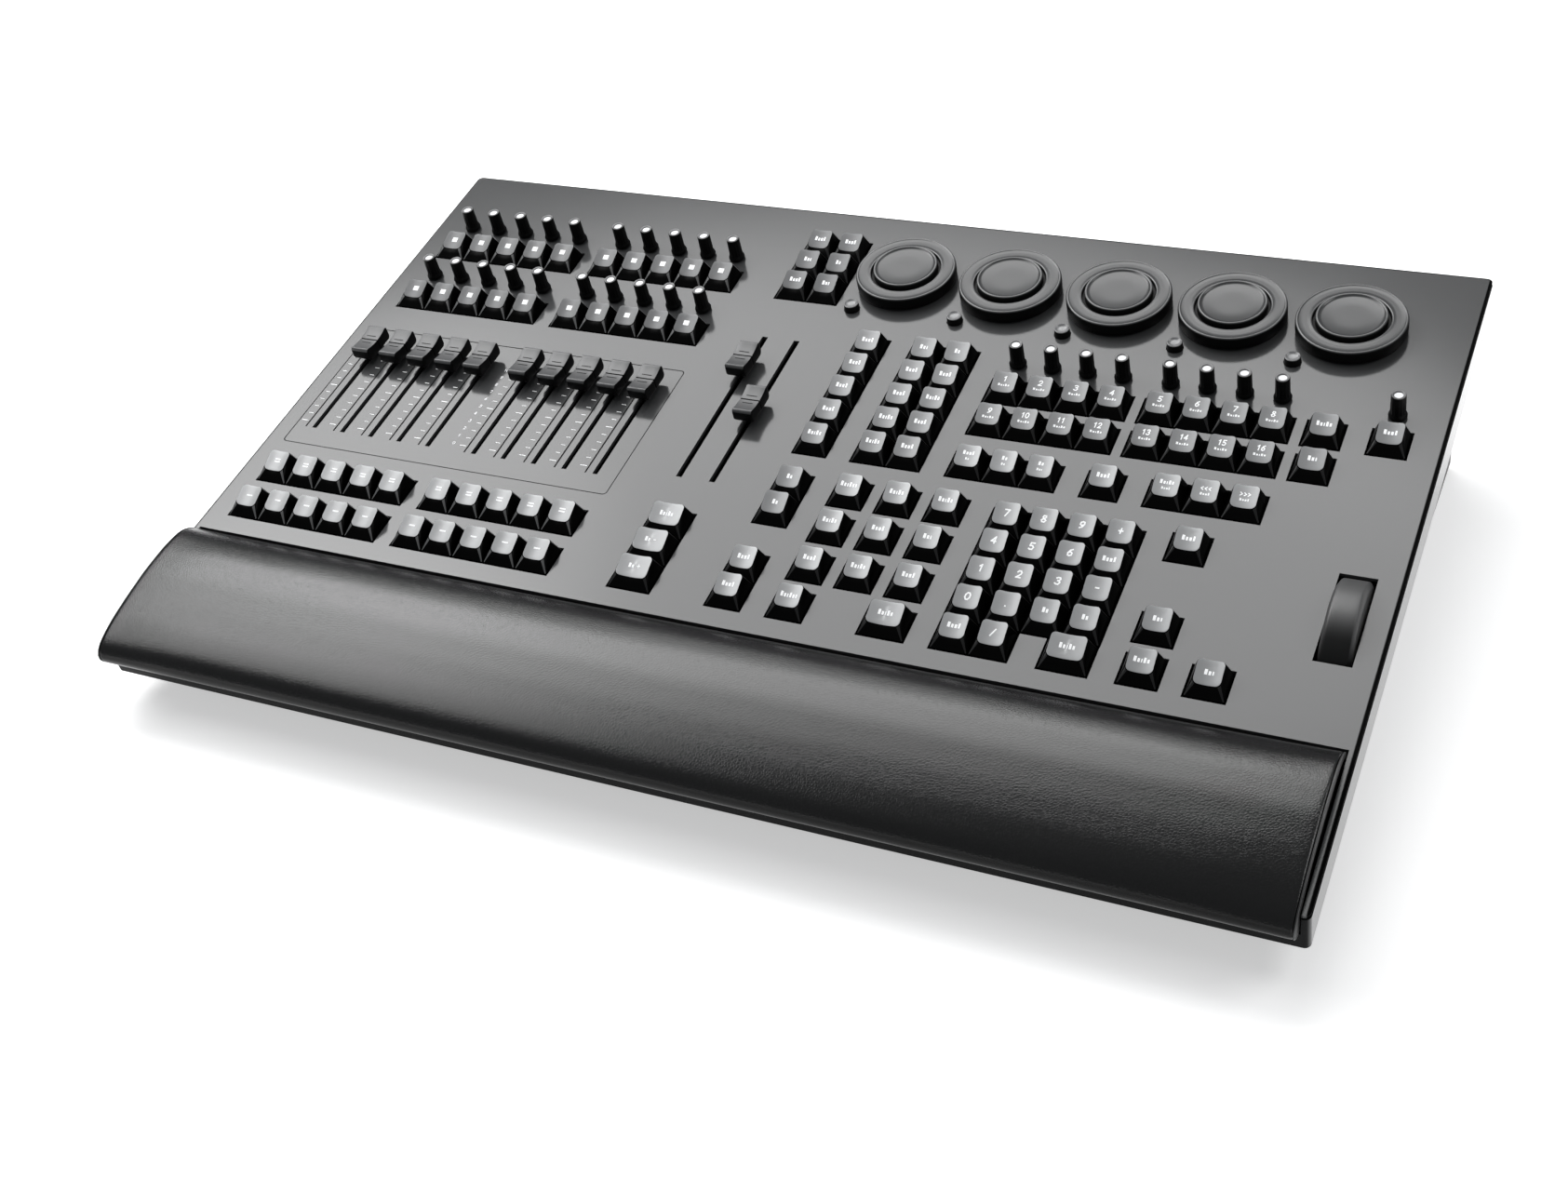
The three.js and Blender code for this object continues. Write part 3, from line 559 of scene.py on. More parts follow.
def key_shape(units):
    """A tapered key with a dished top, from shares of the way up and then scales and drops of the top."""
    extra = (units - 1) * PITCH
    half = (KEY_TOP_WIDTH + extra) / 2
    base = (KEY_BASE + extra) / 2
    foot = rounded_outline(-base, -KEY_BASE / 2, base, KEY_BASE / 2, BASE_CORNER_R)
    rings = [[(x, y, w) for x, y in foot] for w in (WEB_TOP, 0.2)]
    edge = rounded_outline(-half, TOP_FRONT, half, TOP_BACK, TOP_CORNER_R)
    low = rings[-1]
    for share in FLANK_RINGS:
        ring = []
        for (bx, by, bz), (tx, ty) in zip(low, edge):
            tz = key_height(tx, ty, half)
            ring.append((bx + (tx - bx) * share, by + (ty - by) * share, bz + (tz - bz) * share))
        rings.append(ring)
    for scale, drop in FACE_RINGS:
        ring = []
        for x, y in edge:
            px = x * scale if units == 1 else math.copysign(max(0, abs(x) - half * (1 - scale)), x)
            py = TOP_MIDDLE + (y - TOP_MIDDLE) * scale
            ring.append((px, py, key_height(px, py, half) - drop))
        rings.append(ring)
    shape = Shape()
    shape.loft(rings, [FLANK] * 5 + [FACE] * 5)
    # The strips at the top corners of the flanks get the painted-highlight material.
    count = len(edge)
    for level in (1, 2):
        for i in range(count):
            if i % (CORNER_POINTS + SIDE_POINTS) in CORNER_STRIP:
                shape.marks[level * count + i] = HIGHLIGHT_RIDGE
    return shape, half


def stroke(shape, line, width, half):
    """A printed line on a key's top, as short quads that follow the dish."""
    for (x0, y0), (x1, y1) in zip(line, line[1:]):
        length = math.hypot(x1 - x0, y1 - y0) or 1e-6
        nx, ny = -(y1 - y0) / length * width / 2, (x1 - x0) / length * width / 2
        ex, ey = (x1 - x0) / length * width * 0.4, (y1 - y0) / length * width * 0.4
        steps = max(1, int(length / 1.2))
        quads = []
        for i in range(steps + 1):
            t = i / steps
            x = x0 - ex + (x1 - x0 + 2 * ex) * t
            y = y0 - ey + (y1 - y0 + 2 * ey) * t
            quads.append((x + nx, y + ny))
            quads.append((x - nx, y - ny))
        points = [(x, y, key_height(x, y, half) + PRINT_LIFT) for x, y in quads]
        faces = [(2 * i + 1, 2 * i + 3, 2 * i + 2, 2 * i) for i in range(steps)]
        shape.add(points, faces, PRINTED)


DIGITS = {
    "0": [[(0.3, 0), (0.7, 0), (1, 0.3), (1, 0.7), (0.7, 1), (0.3, 1), (0, 0.7), (0, 0.3), (0.3, 0)]],
    "1": [[(0.15, 0.75), (0.55, 1), (0.55, 0)]],
    "2": [[(0.05, 0.8), (0.3, 1), (0.7, 1), (0.95, 0.78), (0.85, 0.5), (0.05, 0), (1, 0)]],
    "3": [[(0.05, 0.9), (0.35, 1), (0.75, 1), (0.95, 0.78), (0.7, 0.54), (0.4, 0.54)],
          [(0.7, 0.54), (1, 0.3), (0.75, 0), (0.3, 0), (0, 0.12)]],
    "4": [[(0.75, 0), (0.75, 1), (0, 0.3), (1, 0.3)]],
    "5": [[(0.95, 1), (0.15, 1), (0.1, 0.55), (0.6, 0.6), (0.95, 0.35), (0.75, 0.03), (0.3, 0),
           (0.02, 0.1)]],
    "6": [[(0.85, 1), (0.4, 0.85), (0.05, 0.4), (0.15, 0.08), (0.5, 0), (0.9, 0.15), (0.9, 0.45),
           (0.55, 0.6), (0.1, 0.45)]],
    "7": [[(0, 1), (1, 1), (0.4, 0)]],
    "8": [[(0.5, 0.53), (0.15, 0.72), (0.25, 0.97), (0.75, 0.97), (0.85, 0.72), (0.5, 0.53),
           (0.02, 0.27), (0.25, 0), (0.75, 0), (0.98, 0.27), (0.5, 0.53)]],
    "9": [[(0.15, 0), (0.6, 0.15), (0.95, 0.6), (0.85, 0.92), (0.5, 1), (0.1, 0.85), (0.1, 0.55),
           (0.45, 0.4), (0.9, 0.55)]],
    "+": [[(0.5, 0.12), (0.5, 0.88)], [(0.08, 0.5), (0.92, 0.5)]],
    "-": [[(0.15, 0.45), (0.85, 0.45)]],
    ".": [[(0.46, 0.04), (0.54, 0.04)]],
    "/": [[(0.15, 0), (0.85, 1)]],
    "<": [[(0.85, 0.9), (0.2, 0.5), (0.85, 0.1)]],
    ">": [[(0.15, 0.9), (0.8, 0.5), (0.15, 0.1)]],
}


LEAN = 0.12
WORD_GAP = 0.42
LOW_LETTER = 0.72
WORDS = {
    2: (0.9, 0.75), 3: (0.95, 0.8, 0.5), 4: (0.95, 0.75, 0.85, 0.7), 5: (0.9, 0.75, 0.4, 0.8, 0.75),
    6: (0.9, 0.7, 0.45, 0.75, 0.7, 0.6),
}


def glyph(shape, char, x, y, size, thick, half, lean=LEAN):
    width, height = size
    for line in DIGITS[char]:
        placed = []
        for a, b in line:
            placed.append((x + (a - 0.5) * width + (b - 0.5) * height * lean, y + (b - 0.5) * height))
        stroke(shape, placed, thick, half)


def word(shape, letters, x, y, half, height, spread):
    """A word's place held by small blocks in a row; WORDS has their widths before the spread."""
    blocks = WORDS[letters]
    gap = WORD_GAP * spread
    total = sum(blocks) * spread + gap * (len(blocks) - 1)
    left = x - total / 2
    for index, block in enumerate(blocks):
        width = block * spread
        tall = height if index % 3 == 0 else height * LOW_LETTER
        x0, x1, y0 = left, left + width, y - height / 2
        corners = [(x0, y0), (x1, y0), (x1, y0 + tall), (x0, y0 + tall)]
        points = [(a, b, key_height(a, b, half) + PRINT_LIFT) for a, b in corners]
        shape.add(points, [(0, 1, 2, 3)], PRINTED)
        left += width + gap


def legend(shape, kind, half):
    """Printed marks on a key's top: w is one word, t two, x a number over a word; digits give lengths."""
    y = TOP_MIDDLE + 0.3
    if kind == "square":
        stroke(shape, [(-0.55, y), (0.55, y)], 2.9, half)
    elif kind == "equals":
        stroke(shape, [(-1.5, y + 0.8), (1.5, y + 0.8)], 0.75, half)
        stroke(shape, [(-1.5, y - 0.7), (1.5, y - 0.7)], 0.75, half)
    elif kind == "dash":
        stroke(shape, [(-1.5, y), (1.5, y)], 0.8, half)
    elif kind in DIGITS:
        glyph(shape, kind, 0, y, (2.3, 3.3), 0.72, half)
    elif kind.startswith("w"):
        word(shape, int(kind[1]), 0, y, half, 2.5, 1.4)
    elif kind.startswith("x"):
        number = kind[1:]
        wide = 1.6 if len(number) > 1 else 1.9
        left = -(len(number) - 1) * 1.1
        for i, digit in enumerate(number):
            glyph(shape, digit, left + i * 2.2, y + 1.7, (wide, 2.6), 0.56, half)
        word(shape, 5, 0, y - 1.9, half, 1.3, 1.15)
    elif kind.startswith("t"):
        word(shape, int(kind[1]), 0, y + 1.3, half, 2.1, 1.3)
        word(shape, int(kind[2]), 0, y - 1.9, half, 1.3, 0.95)
    elif kind in ("<<", ">>"):
        for k in (-1, 0, 1):
            glyph(shape, kind[0], k * 1.9, y + 0.9, (1.5, 1.9), 0.5, half, lean=0)
        word(shape, 4, 0, y - 1.9, half, 1.3, 1.0)
    elif kind in ("go-", "go+"):
        word(shape, 2, -1.6, y, half, 2.3, 1.4)
        glyph(shape, kind[2], 2.4, y, (1.7, 1.9), 0.5, half, lean=0)


KEY_MODELS = {1: key_shape(1), 1.25: key_shape(1.25)}
# A block of keys is u, v, columns, rows and key width. Its keys and their legends run along u, then v.
BANKS = {
    "keys_exec_upper": [(u, v, KEYS_IN_ROW, 1, 1) for v in (243.7, 195.7) for u in EXEC_STARTS],
    "keys_exec_lower": [(u, v, KEYS_IN_ROW, 1, 1) for v in (41.6, 13.3) for u in EXEC_STARTS],
    "keys_transport": [(247.9, 13.7, 1, 3, 1.25)],
    "keys_page": [(302.6, 13.3, 1, 2, 1)],
    "keys_navigation": [(241.2, 243.7, 2, 3, 1)],
    "keys_program": [(302.6, 124.8, 1, 5, 1), (335.3, 124.8, 2, 5, 1), (302.6, 72.0, 1, 2, 1)],
    "keys_objects": [(u, v, 1, 1, 1) for v in (91.8, 65.7, 39.1) for u in (335.3, 361.2, 387.2)],
    "keys_assignable": [(u, v, columns, 1, 1) for v in (182.1, 156.9)
                        for u, columns in ((387.2, 4), (469.3, 4), (551.5, 1))],
    "keys_cue": [(387.2, 124.8, 3, 1, 1), (457.4, 124.8, 1, 1, 1), (489.0, 124.8, 3, 1, 1)],
    "keys_number": [(419.6, 13.3, 2, 5, 1), (457.7, 32.35, 2, 4, 1), (471.8, 13.3, 1, 1, 1.25)],
    "key_menu": [(583.0, 182.1, 1, 1, 1)],
    "key_undo": [(508.8, 91.8, 1, 1, 1)],
    "key_escape": [(508.8, 39.1, 1, 1, 1)],
    "key_clear": [(508.8, 13.3, 1, 1, 1)],
    "key_full": [(539.3, 13.3, 1, 1, 1)],
    "key_store": [(383.0, 13.3, 1, 1, 1.25)],
    "key_update": [(335.3, 13.3, 1, 1, 1)],
}
LEGENDS = {
    "keys_exec_upper": "square " * 20,
    "keys_exec_lower": "equals " * 10 + "dash " * 10,
    "keys_transport": "go+ go- w5",
    "keys_page": "w4 w4",
    "keys_navigation": "w4 w3 w3 w2 w4 w4",
    "keys_program": "w5 w4 w4 w4 w4 w5 w4 w5 w4 w4 w5 w4 w4 w3 w2 w2 w2",
    "keys_objects": "w6 w5 w5 w5 w4 w3 w4 w5 w4",
    "keys_assignable": "x1 x2 x3 x4 x5 x6 x7 x8 w5 x9 x10 x11 x12 x13 x14 x15 x16 w3",
    "keys_cue": "t42 t22 t23 w4 t54 << >>",
    "keys_number": "w4 / 0 . 1 2 4 5 7 8 w2 w2 3 - 6 w4 9 + w5",
    "key_menu": "w4", "key_undo": "w4", "key_escape": "w3", "key_clear": "w5",
    "key_full": "w3", "key_store": "w5", "key_update": "w6",
}
# Banks whose key tops take painted shade, full or half, because they catch less of the overhead light.
PAINTED_SHADE_BANKS = ("keys_exec_upper", "keys_navigation")
PAINTED_HALF_SHADE_BANKS = ("keys_program", "keys_assignable", "key_menu")
EXEC_BANKS = ("keys_exec_upper", "keys_exec_lower")


def build_keys():
    for name, blocks in BANKS.items():
        bank = Shape()
        kinds = iter(LEGENDS[name].split())
        for u, v, columns, rows, units in blocks:
            for row in range(rows):
                for column in range(columns):
                    model, half = KEY_MODELS[units]
                    key = Shape()
                    key.merge(model)
                    legend(key, next(kinds), half)
                    bank.merge(key, (u + CUT / 2 + PITCH * units * (column + 0.5),
                                     v + CUT / 2 + PITCH * (row + 0.5), 0))
        # The banks at the back and in the middle get the painted-shade copies of the key top.
        top = KEY_TOP
        if name in PAINTED_SHADE_BANKS:
            top = KEY_TOP_PAINTED_SHADE
        elif name in PAINTED_HALF_SHADE_BANKS:
            top = KEY_TOP_PAINTED_HALF_SHADE
        # Exec keys get the light painted highlight on their corners, the others the faint one.
        edge = KEY_EDGE_HIGHLIGHT if name in EXEC_BANKS else KEY_EDGE_FAINT_HIGHLIGHT
        make(name + "_caps", bank, (KEY_SIDE, top, PRINT, edge), name, (name,), sharp=35)


# ------------------------------------------------------------------ small knobs
KNOB_SKIRT = [(4.3, 0.8), (4.65, 1.0), (4.65, 1.9), (4.4, 2.5), (3.95, 3.2), (3.75, 4.2)]
KNOB_GRIP = [(3.6, 13.7), (3.5, 14.2), (3.3, 14.45), (2.8, 14.5), (2.35, 14.3)]
KNOB_DISC = [(2.2, 13.95), (1.1, 13.9)]
KNOB_MARKS = [0] * 9 + [2] * 4 + [1] * 2
SHAFT_R = 2.0
SHAFT_LOW = -3.9
ROW_SHAFT_LOW = -2.6
BAR_ENDS = (18, 208)
BAR_HALF = 3
KNOB_ROWS = (387.2, 469.3)
MENU_KNOB = (593.0, 212.2)


def flutes(level, angle):
    """Fine ribs round a knob's grip."""
    return 1 + 0.035 * math.cos(14 * angle) if 6 <= level <= 8 else 1


def knob_into(shape, u, v, low):
    body = [(SHAFT_R, low), (SHAFT_R, 0.8)] + KNOB_SKIRT + KNOB_GRIP + KNOB_DISC
    shape.turned(body, 42, (u, v, 0), KNOB_MARKS, flutes)


def bar_into(shape, u0, v0, u1, v1):
    """The flat bar under the panel that joins a row."""
    outline = rounded_outline(u0, v0, u1, v1, 1)
    shape.loft([[(x, y, w) for x, y in outline] for w in (WEB_BOTTOM, WEB_TOP)], 0)


def build_knobs():
    for name, v in EXEC_KNOB_V.items():
        row = Shape()
        for u in EXEC_U:
            knob_into(row, u + KNOB_SHIFT, v, ROW_SHAFT_LOW)
        bar_into(row, BAR_ENDS[0], v - BAR_HALF, BAR_ENDS[1], v + BAR_HALF)
        make(name + "_tops", row, (KNOB, KNOB_TOP, KNOB_RIM), name, (name,))
    places = [(start + CUT / 2 + PITCH * (i + 0.5), KNOB_V) for start in KNOB_ROWS for i in range(4)]
    spots = {f"knob_{i + 1}": place for i, place in enumerate(places)}
    spots["knob_menu"] = MENU_KNOB
    for name, (u, v) in spots.items():
        one = Shape()
        knob_into(one, u, v, SHAFT_LOW)
        make(name + "_body", one, (KNOB, KNOB_TOP, KNOB_RIM), name, (name,))


# ------------------------------------------------------------------ dials and buttons
DIAL_PROFILE = [
    (5.0, -4.3), (5.0, 0.7), (27.2, 0.7), (27.9, 1.2), (28.1, 2.2), (28.1, 7.0), (28.0, 7.6), (27.7, 8.0),
    (27.3, 8.2), (26.9, 8.15), (26.6, 7.97), (26.3, 7.9), (24.0, 7.9), (22.3, 7.9), (21.0, 7.9),
    (20.7, 8.0), (20.3, 8.0), (19.9, 7.85), (19.6, 7.5), (19.4, 6.0), (18.2, 6.0), (18.05, 7.0),
    (17.95, 9.7), (17.8, 10.15), (17.4, 10.35), (16.9, 10.3), (16.5, 10.0), (16.1, 9.65), (15.0, 9.5),
    (8.0, 9.4), (3.0, 9.4),
]
# The flank bands of the dial's profile take painted shade.
DIAL_SHADED_FLANKS = (*range(6), *range(18, 22))
# The lip bands of the dial's profile take the painted highlight.
DIAL_HIGHLIT_LIPS = (7, 8, 16, 23, 24)
DIAL_MARKS = [1 if i in DIAL_SHADED_FLANKS else 2 if i in DIAL_HIGHLIT_LIPS else 0 for i in range(len(DIAL_PROFILE))]
BUTTON_BODY = [(4.1, -3.0), (4.1, 0.3), (4.3, 0.35), (4.36, 0.8), (4.3, 1.4), (4.1, 2.6)]
BUTTON_CROWN = [(4.0, 3.6), (3.85, 3.9), (3.6, 4.0), (3.3, 3.85), (3.0, 3.5), (2.0, 3.25), (1.0, 3.2)]
BUTTON_BAR = (287, BUTTON_V - 2.6, 538, BUTTON_V + 2.6)


def knurl(level, angle):
    """Fine ribs round a dial's rim."""
    return 1 + 0.0035 * math.cos(90 * angle) if 3 <= level <= 5 else 1


def build_dials():
    for index, u in enumerate(DIAL_U):
        name = f"dial_{index + 1}"
        dial = Shape()
        dial.turned(DIAL_PROFILE, 180, (u, DIAL_V, 0), DIAL_MARKS, knurl)
        make(name + "_wheel", dial, (DIAL, DIAL_SHADED_SIDE, DIAL_BEAD_HIGHLIGHT), name, (name,), sharp=50)


def build_buttons():
    row = Shape()
    marks = [0] * len(BUTTON_BODY) + [1] * len(BUTTON_CROWN)
    for u in BUTTON_U:
        row.turned(BUTTON_BODY + BUTTON_CROWN, 40, (u, BUTTON_V, 0), marks)
    bar_into(row, *BUTTON_BAR)
    make("dial_buttons_caps", row, (KNOB, BUTTON_TOP_HIGHLIGHT), "dial_buttons", ("dial_buttons",))


# ------------------------------------------------------------------ faders
CAP_HALF_WIDTH = 5.85
CAP_HALF_LENGTH = 11.0
CAP_LOW = 3.0
CAP_DIP = 9.65
CAP_LIP = 9.8
CAP_END_RADIUS = 1.7
CAP_RISE = 1.5
CAP_GROOVE = 0.6
CAP_FOOT_RADIUS = 1.9
STATIONS = (0.4, 0.42, 1.6, 3.2, 5, 7, 8.4, 9.3, 9.8, 10.2, 10.55, 10.8, 10.95, 11)
CAP_TICKS = (-2.9, 2.9)
STEM = (-0.9, -3, 0.9, 3, 0.4)
STEM_TOP = 3.2
FOOT = (-3.4, -4.9, 3.4, 4.9, 0.6)
FOOT_TOP, FOOT_BOTTOM = -4.7, -6.9
BODY, TOP, DARK, METAL = range(4)


def cap_height(y):
    """Height of a fader cap's saddle-shaped top at y along its travel."""
    return CAP_DIP + CAP_RISE * min(1, abs(y) / CAP_LIP) ** 2


def cap_section(y):
    """The cap's outline across its travel at y, from the underside round to the top and back."""
    near = CAP_HALF_LENGTH - abs(y)
    bend = max(0, CAP_END_RADIUS - near)
    round_top = CAP_END_RADIUS - math.sqrt(CAP_END_RADIUS ** 2 - bend ** 2)
    round_low = CAP_FOOT_RADIUS * (1 - min(1, near / CAP_FOOT_RADIUS)) ** 2.4
    top = cap_height(y) - round_top - (CAP_GROOVE if abs(y) <= STATIONS[0] else 0)
    low = CAP_LOW + round_low
    side = CAP_HALF_WIDTH - 0.3 * (1 - min(1, near / 0.4)) ** 2
    return [
        (-side + 0.7, y, low), (side - 0.7, y, low), (side - 0.15, y, low + 0.25), (side, y, low + 0.8),
        (side - 0.12, y, top - 0.35), (side - 0.3, y, top - 0.08), (side - 0.6, y, top),
        (side * 0.4, y, top - 0.04), (-side * 0.4, y, top - 0.04), (-side + 0.6, y, top),
        (-side + 0.3, y, top - 0.08), (-side + 0.12, y, top - 0.35), (-side, y, low + 0.8),
        (-side + 0.15, y, low + 0.25),
    ]


def cap_mark(level, i):
    """The material of one face of the cap: the groove across its middle, its top or its body."""
    # The faces round the middle groove take the near-black material: painted shade in the groove.
    if abs(level - len(STATIONS) + 1) <= 1 and 3 <= i <= 11:
        return DARK
    return TOP if 5 <= i <= 9 else BODY


def cap_shape():
    """A cap whose top dips to a line across its middle, on a flat stem with a foot."""
    shape = Shape()
    rings = [cap_section(y) for y in (*[-y for y in reversed(STATIONS)], *STATIONS)]
    count = len(rings[0])
    for ring in rings:
        shape.points.extend(ring)
    for level in range(len(rings) - 1):
        for i in range(count):
            a = level * count + i
            b = level * count + (i + 1) % count
            shape.faces.append([b, a, a + count, b + count])
            shape.marks.append(cap_mark(level, i))
    last = (len(rings) - 1) * count
    shape.faces.append(list(range(count)))
    shape.faces.append([last + i for i in reversed(range(count))])
    shape.marks += [BODY, BODY]
    reach = CAP_HALF_WIDTH * 0.52
    for y in CAP_TICKS:
        y0, y1 = y - 0.25, y + 0.25
        z0, z1 = cap_height(y0) + 0.02, cap_height(y1) + 0.02
        shape.add([(-reach, y0, z0), (reach, y0, z0), (reach, y1, z1), (-reach, y1, z1)],
                  [(0, 1, 2, 3)], DARK)
    for sizes, top in ((STEM, STEM_TOP), (FOOT, FOOT_TOP)):
        outline = rounded_outline(*sizes, 2, 1)
        shape.loft([[(x, y, w) for x, y in outline] for w in (FOOT_BOTTOM, top)], METAL)
    return shape


def build_faders():
    cap = cap_shape()
    spots = [(f"fader_{i + 1}", u, FADER_V) for i, u in enumerate(EXEC_U)]
    spots += [(f"master_{i + 1}", u, v) for i, (u, v) in enumerate(MASTERS)]
    for name, u, v in spots:
        one = Shape()
        one.merge(cap, (u, v, 0))
        make(name + "_cap", one, (CAP, CAP_TOP, GROOVE, STEEL), name, (name,), sharp=38)


def flat_stroke(shape, line, width, w, mark=0):
    for (x0, y0), (x1, y1) in zip(line, line[1:]):
        length = math.hypot(x1 - x0, y1 - y0) or 1e-6
        nx, ny = -(y1 - y0) / length * width / 2, (x1 - x0) / length * width / 2
        ex, ey = (x1 - x0) / length * width * 0.35, (y1 - y0) / length * width * 0.35
        shape.add([
            (x0 - ex - nx, y0 - ey - ny, w), (x1 + ex - nx, y1 + ey - ny, w),
            (x1 + ex + nx, y1 + ey + ny, w), (x0 - ex + nx, y0 - ey + ny, w),
        ], [(0, 1, 2, 3)], mark)


FADER_SEAM = (8.65, 74.35, 217.35, 174.75)
SCALE_STEPS = 11
SCALE_STEP = 6.18
TICK_LOW_V = 92.7
TICK_SHIFT = 9.2
SLIT_SHIFT = 5.8
SLIT_ENDS = (88.2, 167.6)
NUMBER_SPOT = (112.3, 93.6)
NUMBER_SIZE = (1.2, 1.9)
NUMBER_STEP = 1.7


def scale_number(scale, number, v):
    wide, high = NUMBER_SIZE
    text = str(number)
    for i, digit in enumerate(text):
        centre = NUMBER_SPOT[0] + (i - (len(text) - 1) / 2) * NUMBER_STEP
        for line in DIGITS[digit]:
            placed = [(centre + (a - 0.5) * wide, v + (b - 0.5) * high) for a, b in line]
            flat_stroke(scale, placed, 0.34, 0.01)


def build_scale():
    """Printed scale marks by the fader slots, and painted shade laid as dark strips in the slit beside each
    slot and in the plate's seam.
    """
    scale = Shape()
    for u in EXEC_U:
        for k in range(SCALE_STEPS):
            reach, thick = (1.9, 0.45) if k % 5 == 0 else (1.3, 0.36)
            v = TICK_LOW_V + SCALE_STEP * k
            flat_stroke(scale, [(u - TICK_SHIFT - reach, v), (u - TICK_SHIFT + reach, v)], thick, 0.01)
        # Painted shade: a dark strip along the slit.
        flat_stroke(scale, [(u - SLIT_SHIFT, v) for v in SLIT_ENDS], 0.9, -0.02, 1)
    for k in range(SCALE_STEPS):
        scale_number(scale, k, NUMBER_SPOT[1] + SCALE_STEP * k)
    # Painted shade: a dark strip laid in the seam round the plate.
    seam = rounded_outline(*FADER_SEAM, 2.4, 6, 1)
    flat_stroke(scale, seam + seam[:1], 0.8, -0.015, 1)
    make("fader_scale", scale, (PRINT, GROOVE), "desk", sharp=30)


# ------------------------------------------------------------------ level wheel
WHEEL_BORE_R = 2.35
WHEEL_POINTS = 144


def build_wheel():
    u, v, w = WHEEL
    half = [(WHEEL_R, 0.0), (WHEEL_R - 0.02, 3.0), (WHEEL_R - 0.06, 5.2), (WHEEL_R - 0.16, 5.8),
            (WHEEL_R - 0.4, 6.15), (WHEEL_R - 2.3, 7.3), (WHEEL_R - 2.6, 7.45), (WHEEL_R - 3.0, WHEEL_HALF),
            (26.0, WHEEL_HALF), (WHEEL_BORE_R, WHEEL_HALF)]
    profile = [(radius, -side) for radius, side in half[:0:-1]] + half
    shape = Shape()
    rings = []
    for radius, side in profile + profile[:1]:
        ring = []
        for i in range(WHEEL_POINTS):
            angle = 2 * math.pi * i / WHEEL_POINTS
            ring.append((u + side, v + radius * math.cos(angle), w + radius * math.sin(angle)))
        rings.append(ring)
    shape.loft(rings, 0, low=False, high=False)
    name = "level_wheel"
    mesh = make(name + "_roller", shape, (WHEEL_SKIN,), name, (name,)).data
    work = bmesh.new()
    work.from_mesh(mesh)
    bmesh.ops.remove_doubles(work, verts=work.verts, dist=1e-7)
    bmesh.ops.recalc_face_normals(work, faces=work.faces)
    work.to_mesh(mesh)
    work.free()


# ------------------------------------------------------------------ palm rest
PAD_UNDERSIDE = [
    (-83.1, -3.8), (-80.3, -0.1), (-66.1, 4.0), (-42.0, 6.2), (-13.9, 5.0), (-3.6, 1.1), (-0.8, -2.4),
]
PAD_CROWN = [
    (-0.8, -6.5), (1.4, -6.5), (1.5, -0.6), (0.4, 2.2), (-2.9, 5.2), (-7.3, 8.9), (-13.0, 11.1),
    (-25.6, 12.4), (-42.9, 12.2), (-61.0, 10.4), (-76.0, 8.2), (-86.0, 5.6), (-92.5, 2.8), (-95.4, -0.4),
    (-95.6, -3.8), (-93.4, -7.6), (-89.6, -10.8),
]
PAD = [(-85.8, -12.6), (-83.1, -12.6)] + PAD_UNDERSIDE + PAD_CROWN
PAD_LEFT, PAD_RIGHT = 1.8, 614.4
PAD_FIRST_FRAME, PAD_LAST_FRAME = 1, 20
PAD_PRESSURE = 4
PAD_TUCK = -9.5
PAD_START_INSET = 0.4
PAD_SWELL = 0.9
PAD_EASE = 12
PAD_END_INSETS = ((0.0, 0.9), (0.25, 0.35), (0.8, 0.05), (2.0, 0.0))
PAD_STEP = 4.5
END_PLATE = 0.7


def resampled(points, step):
    """Points about step apart along a closed outline."""
    out = []
    count = len(points)
    for i in range(count):
        (x0, y0), (x1, y1) = points[i], points[(i + 1) % count]
        parts = max(1, round(math.hypot(x1 - x0, y1 - y0) / step))
        for k in range(parts):
            out.append((x0 + (x1 - x0) * k / parts, y0 + (y1 - y0) * k / parts))
    return out


def softened(points, rounds=3):
    """A closed outline with each point drawn towards its neighbours, so its corners become curves."""
    for _ in range(rounds):
        points = [
            (0.5 * points[i][0] + 0.25 * (points[i - 1][0] + points[(i + 1) % len(points)][0]),
             0.5 * points[i][1] + 0.25 * (points[i - 1][1] + points[(i + 1) % len(points)][1]))
            for i in range(len(points))
        ]
    return points


def area(points):
    pairs = [(points[i - 1], points[i]) for i in range(len(points))]
    return sum(x0 * y1 - x1 * y0 for (x0, y0), (x1, y1) in pairs) / 2


TURN = 1 if area(PAD) > 0 else -1


def shrunk(points, by):
    """A closed outline moved inwards along its normals."""
    out = []
    count = len(points)
    for i in range(count):
        (x0, y0), (x1, y1) = points[i - 1], points[(i + 1) % count]
        length = math.hypot(x1 - x0, y1 - y0) or 1
        du, dw = (y1 - y0) / length * -by * TURN, (x1 - x0) / length * by * TURN
        out.append((points[i][0] + du, points[i][1] + dw))
    return out


def held_down(v, w):
    """Whether a point of the pad rests on the moulded core or is tucked under the front edge."""
    if w < PAD_TUCK:
        return True
    for (v0, w0), (v1, w1) in zip(PAD_UNDERSIDE, PAD_UNDERSIDE[1:]):
        if v0 <= v <= v1:
            return w < w0 + (w1 - w0) * (v - v0) / (v1 - v0) + 1.4
    return v > PAD_UNDERSIDE[-1][0] and w < -3.0


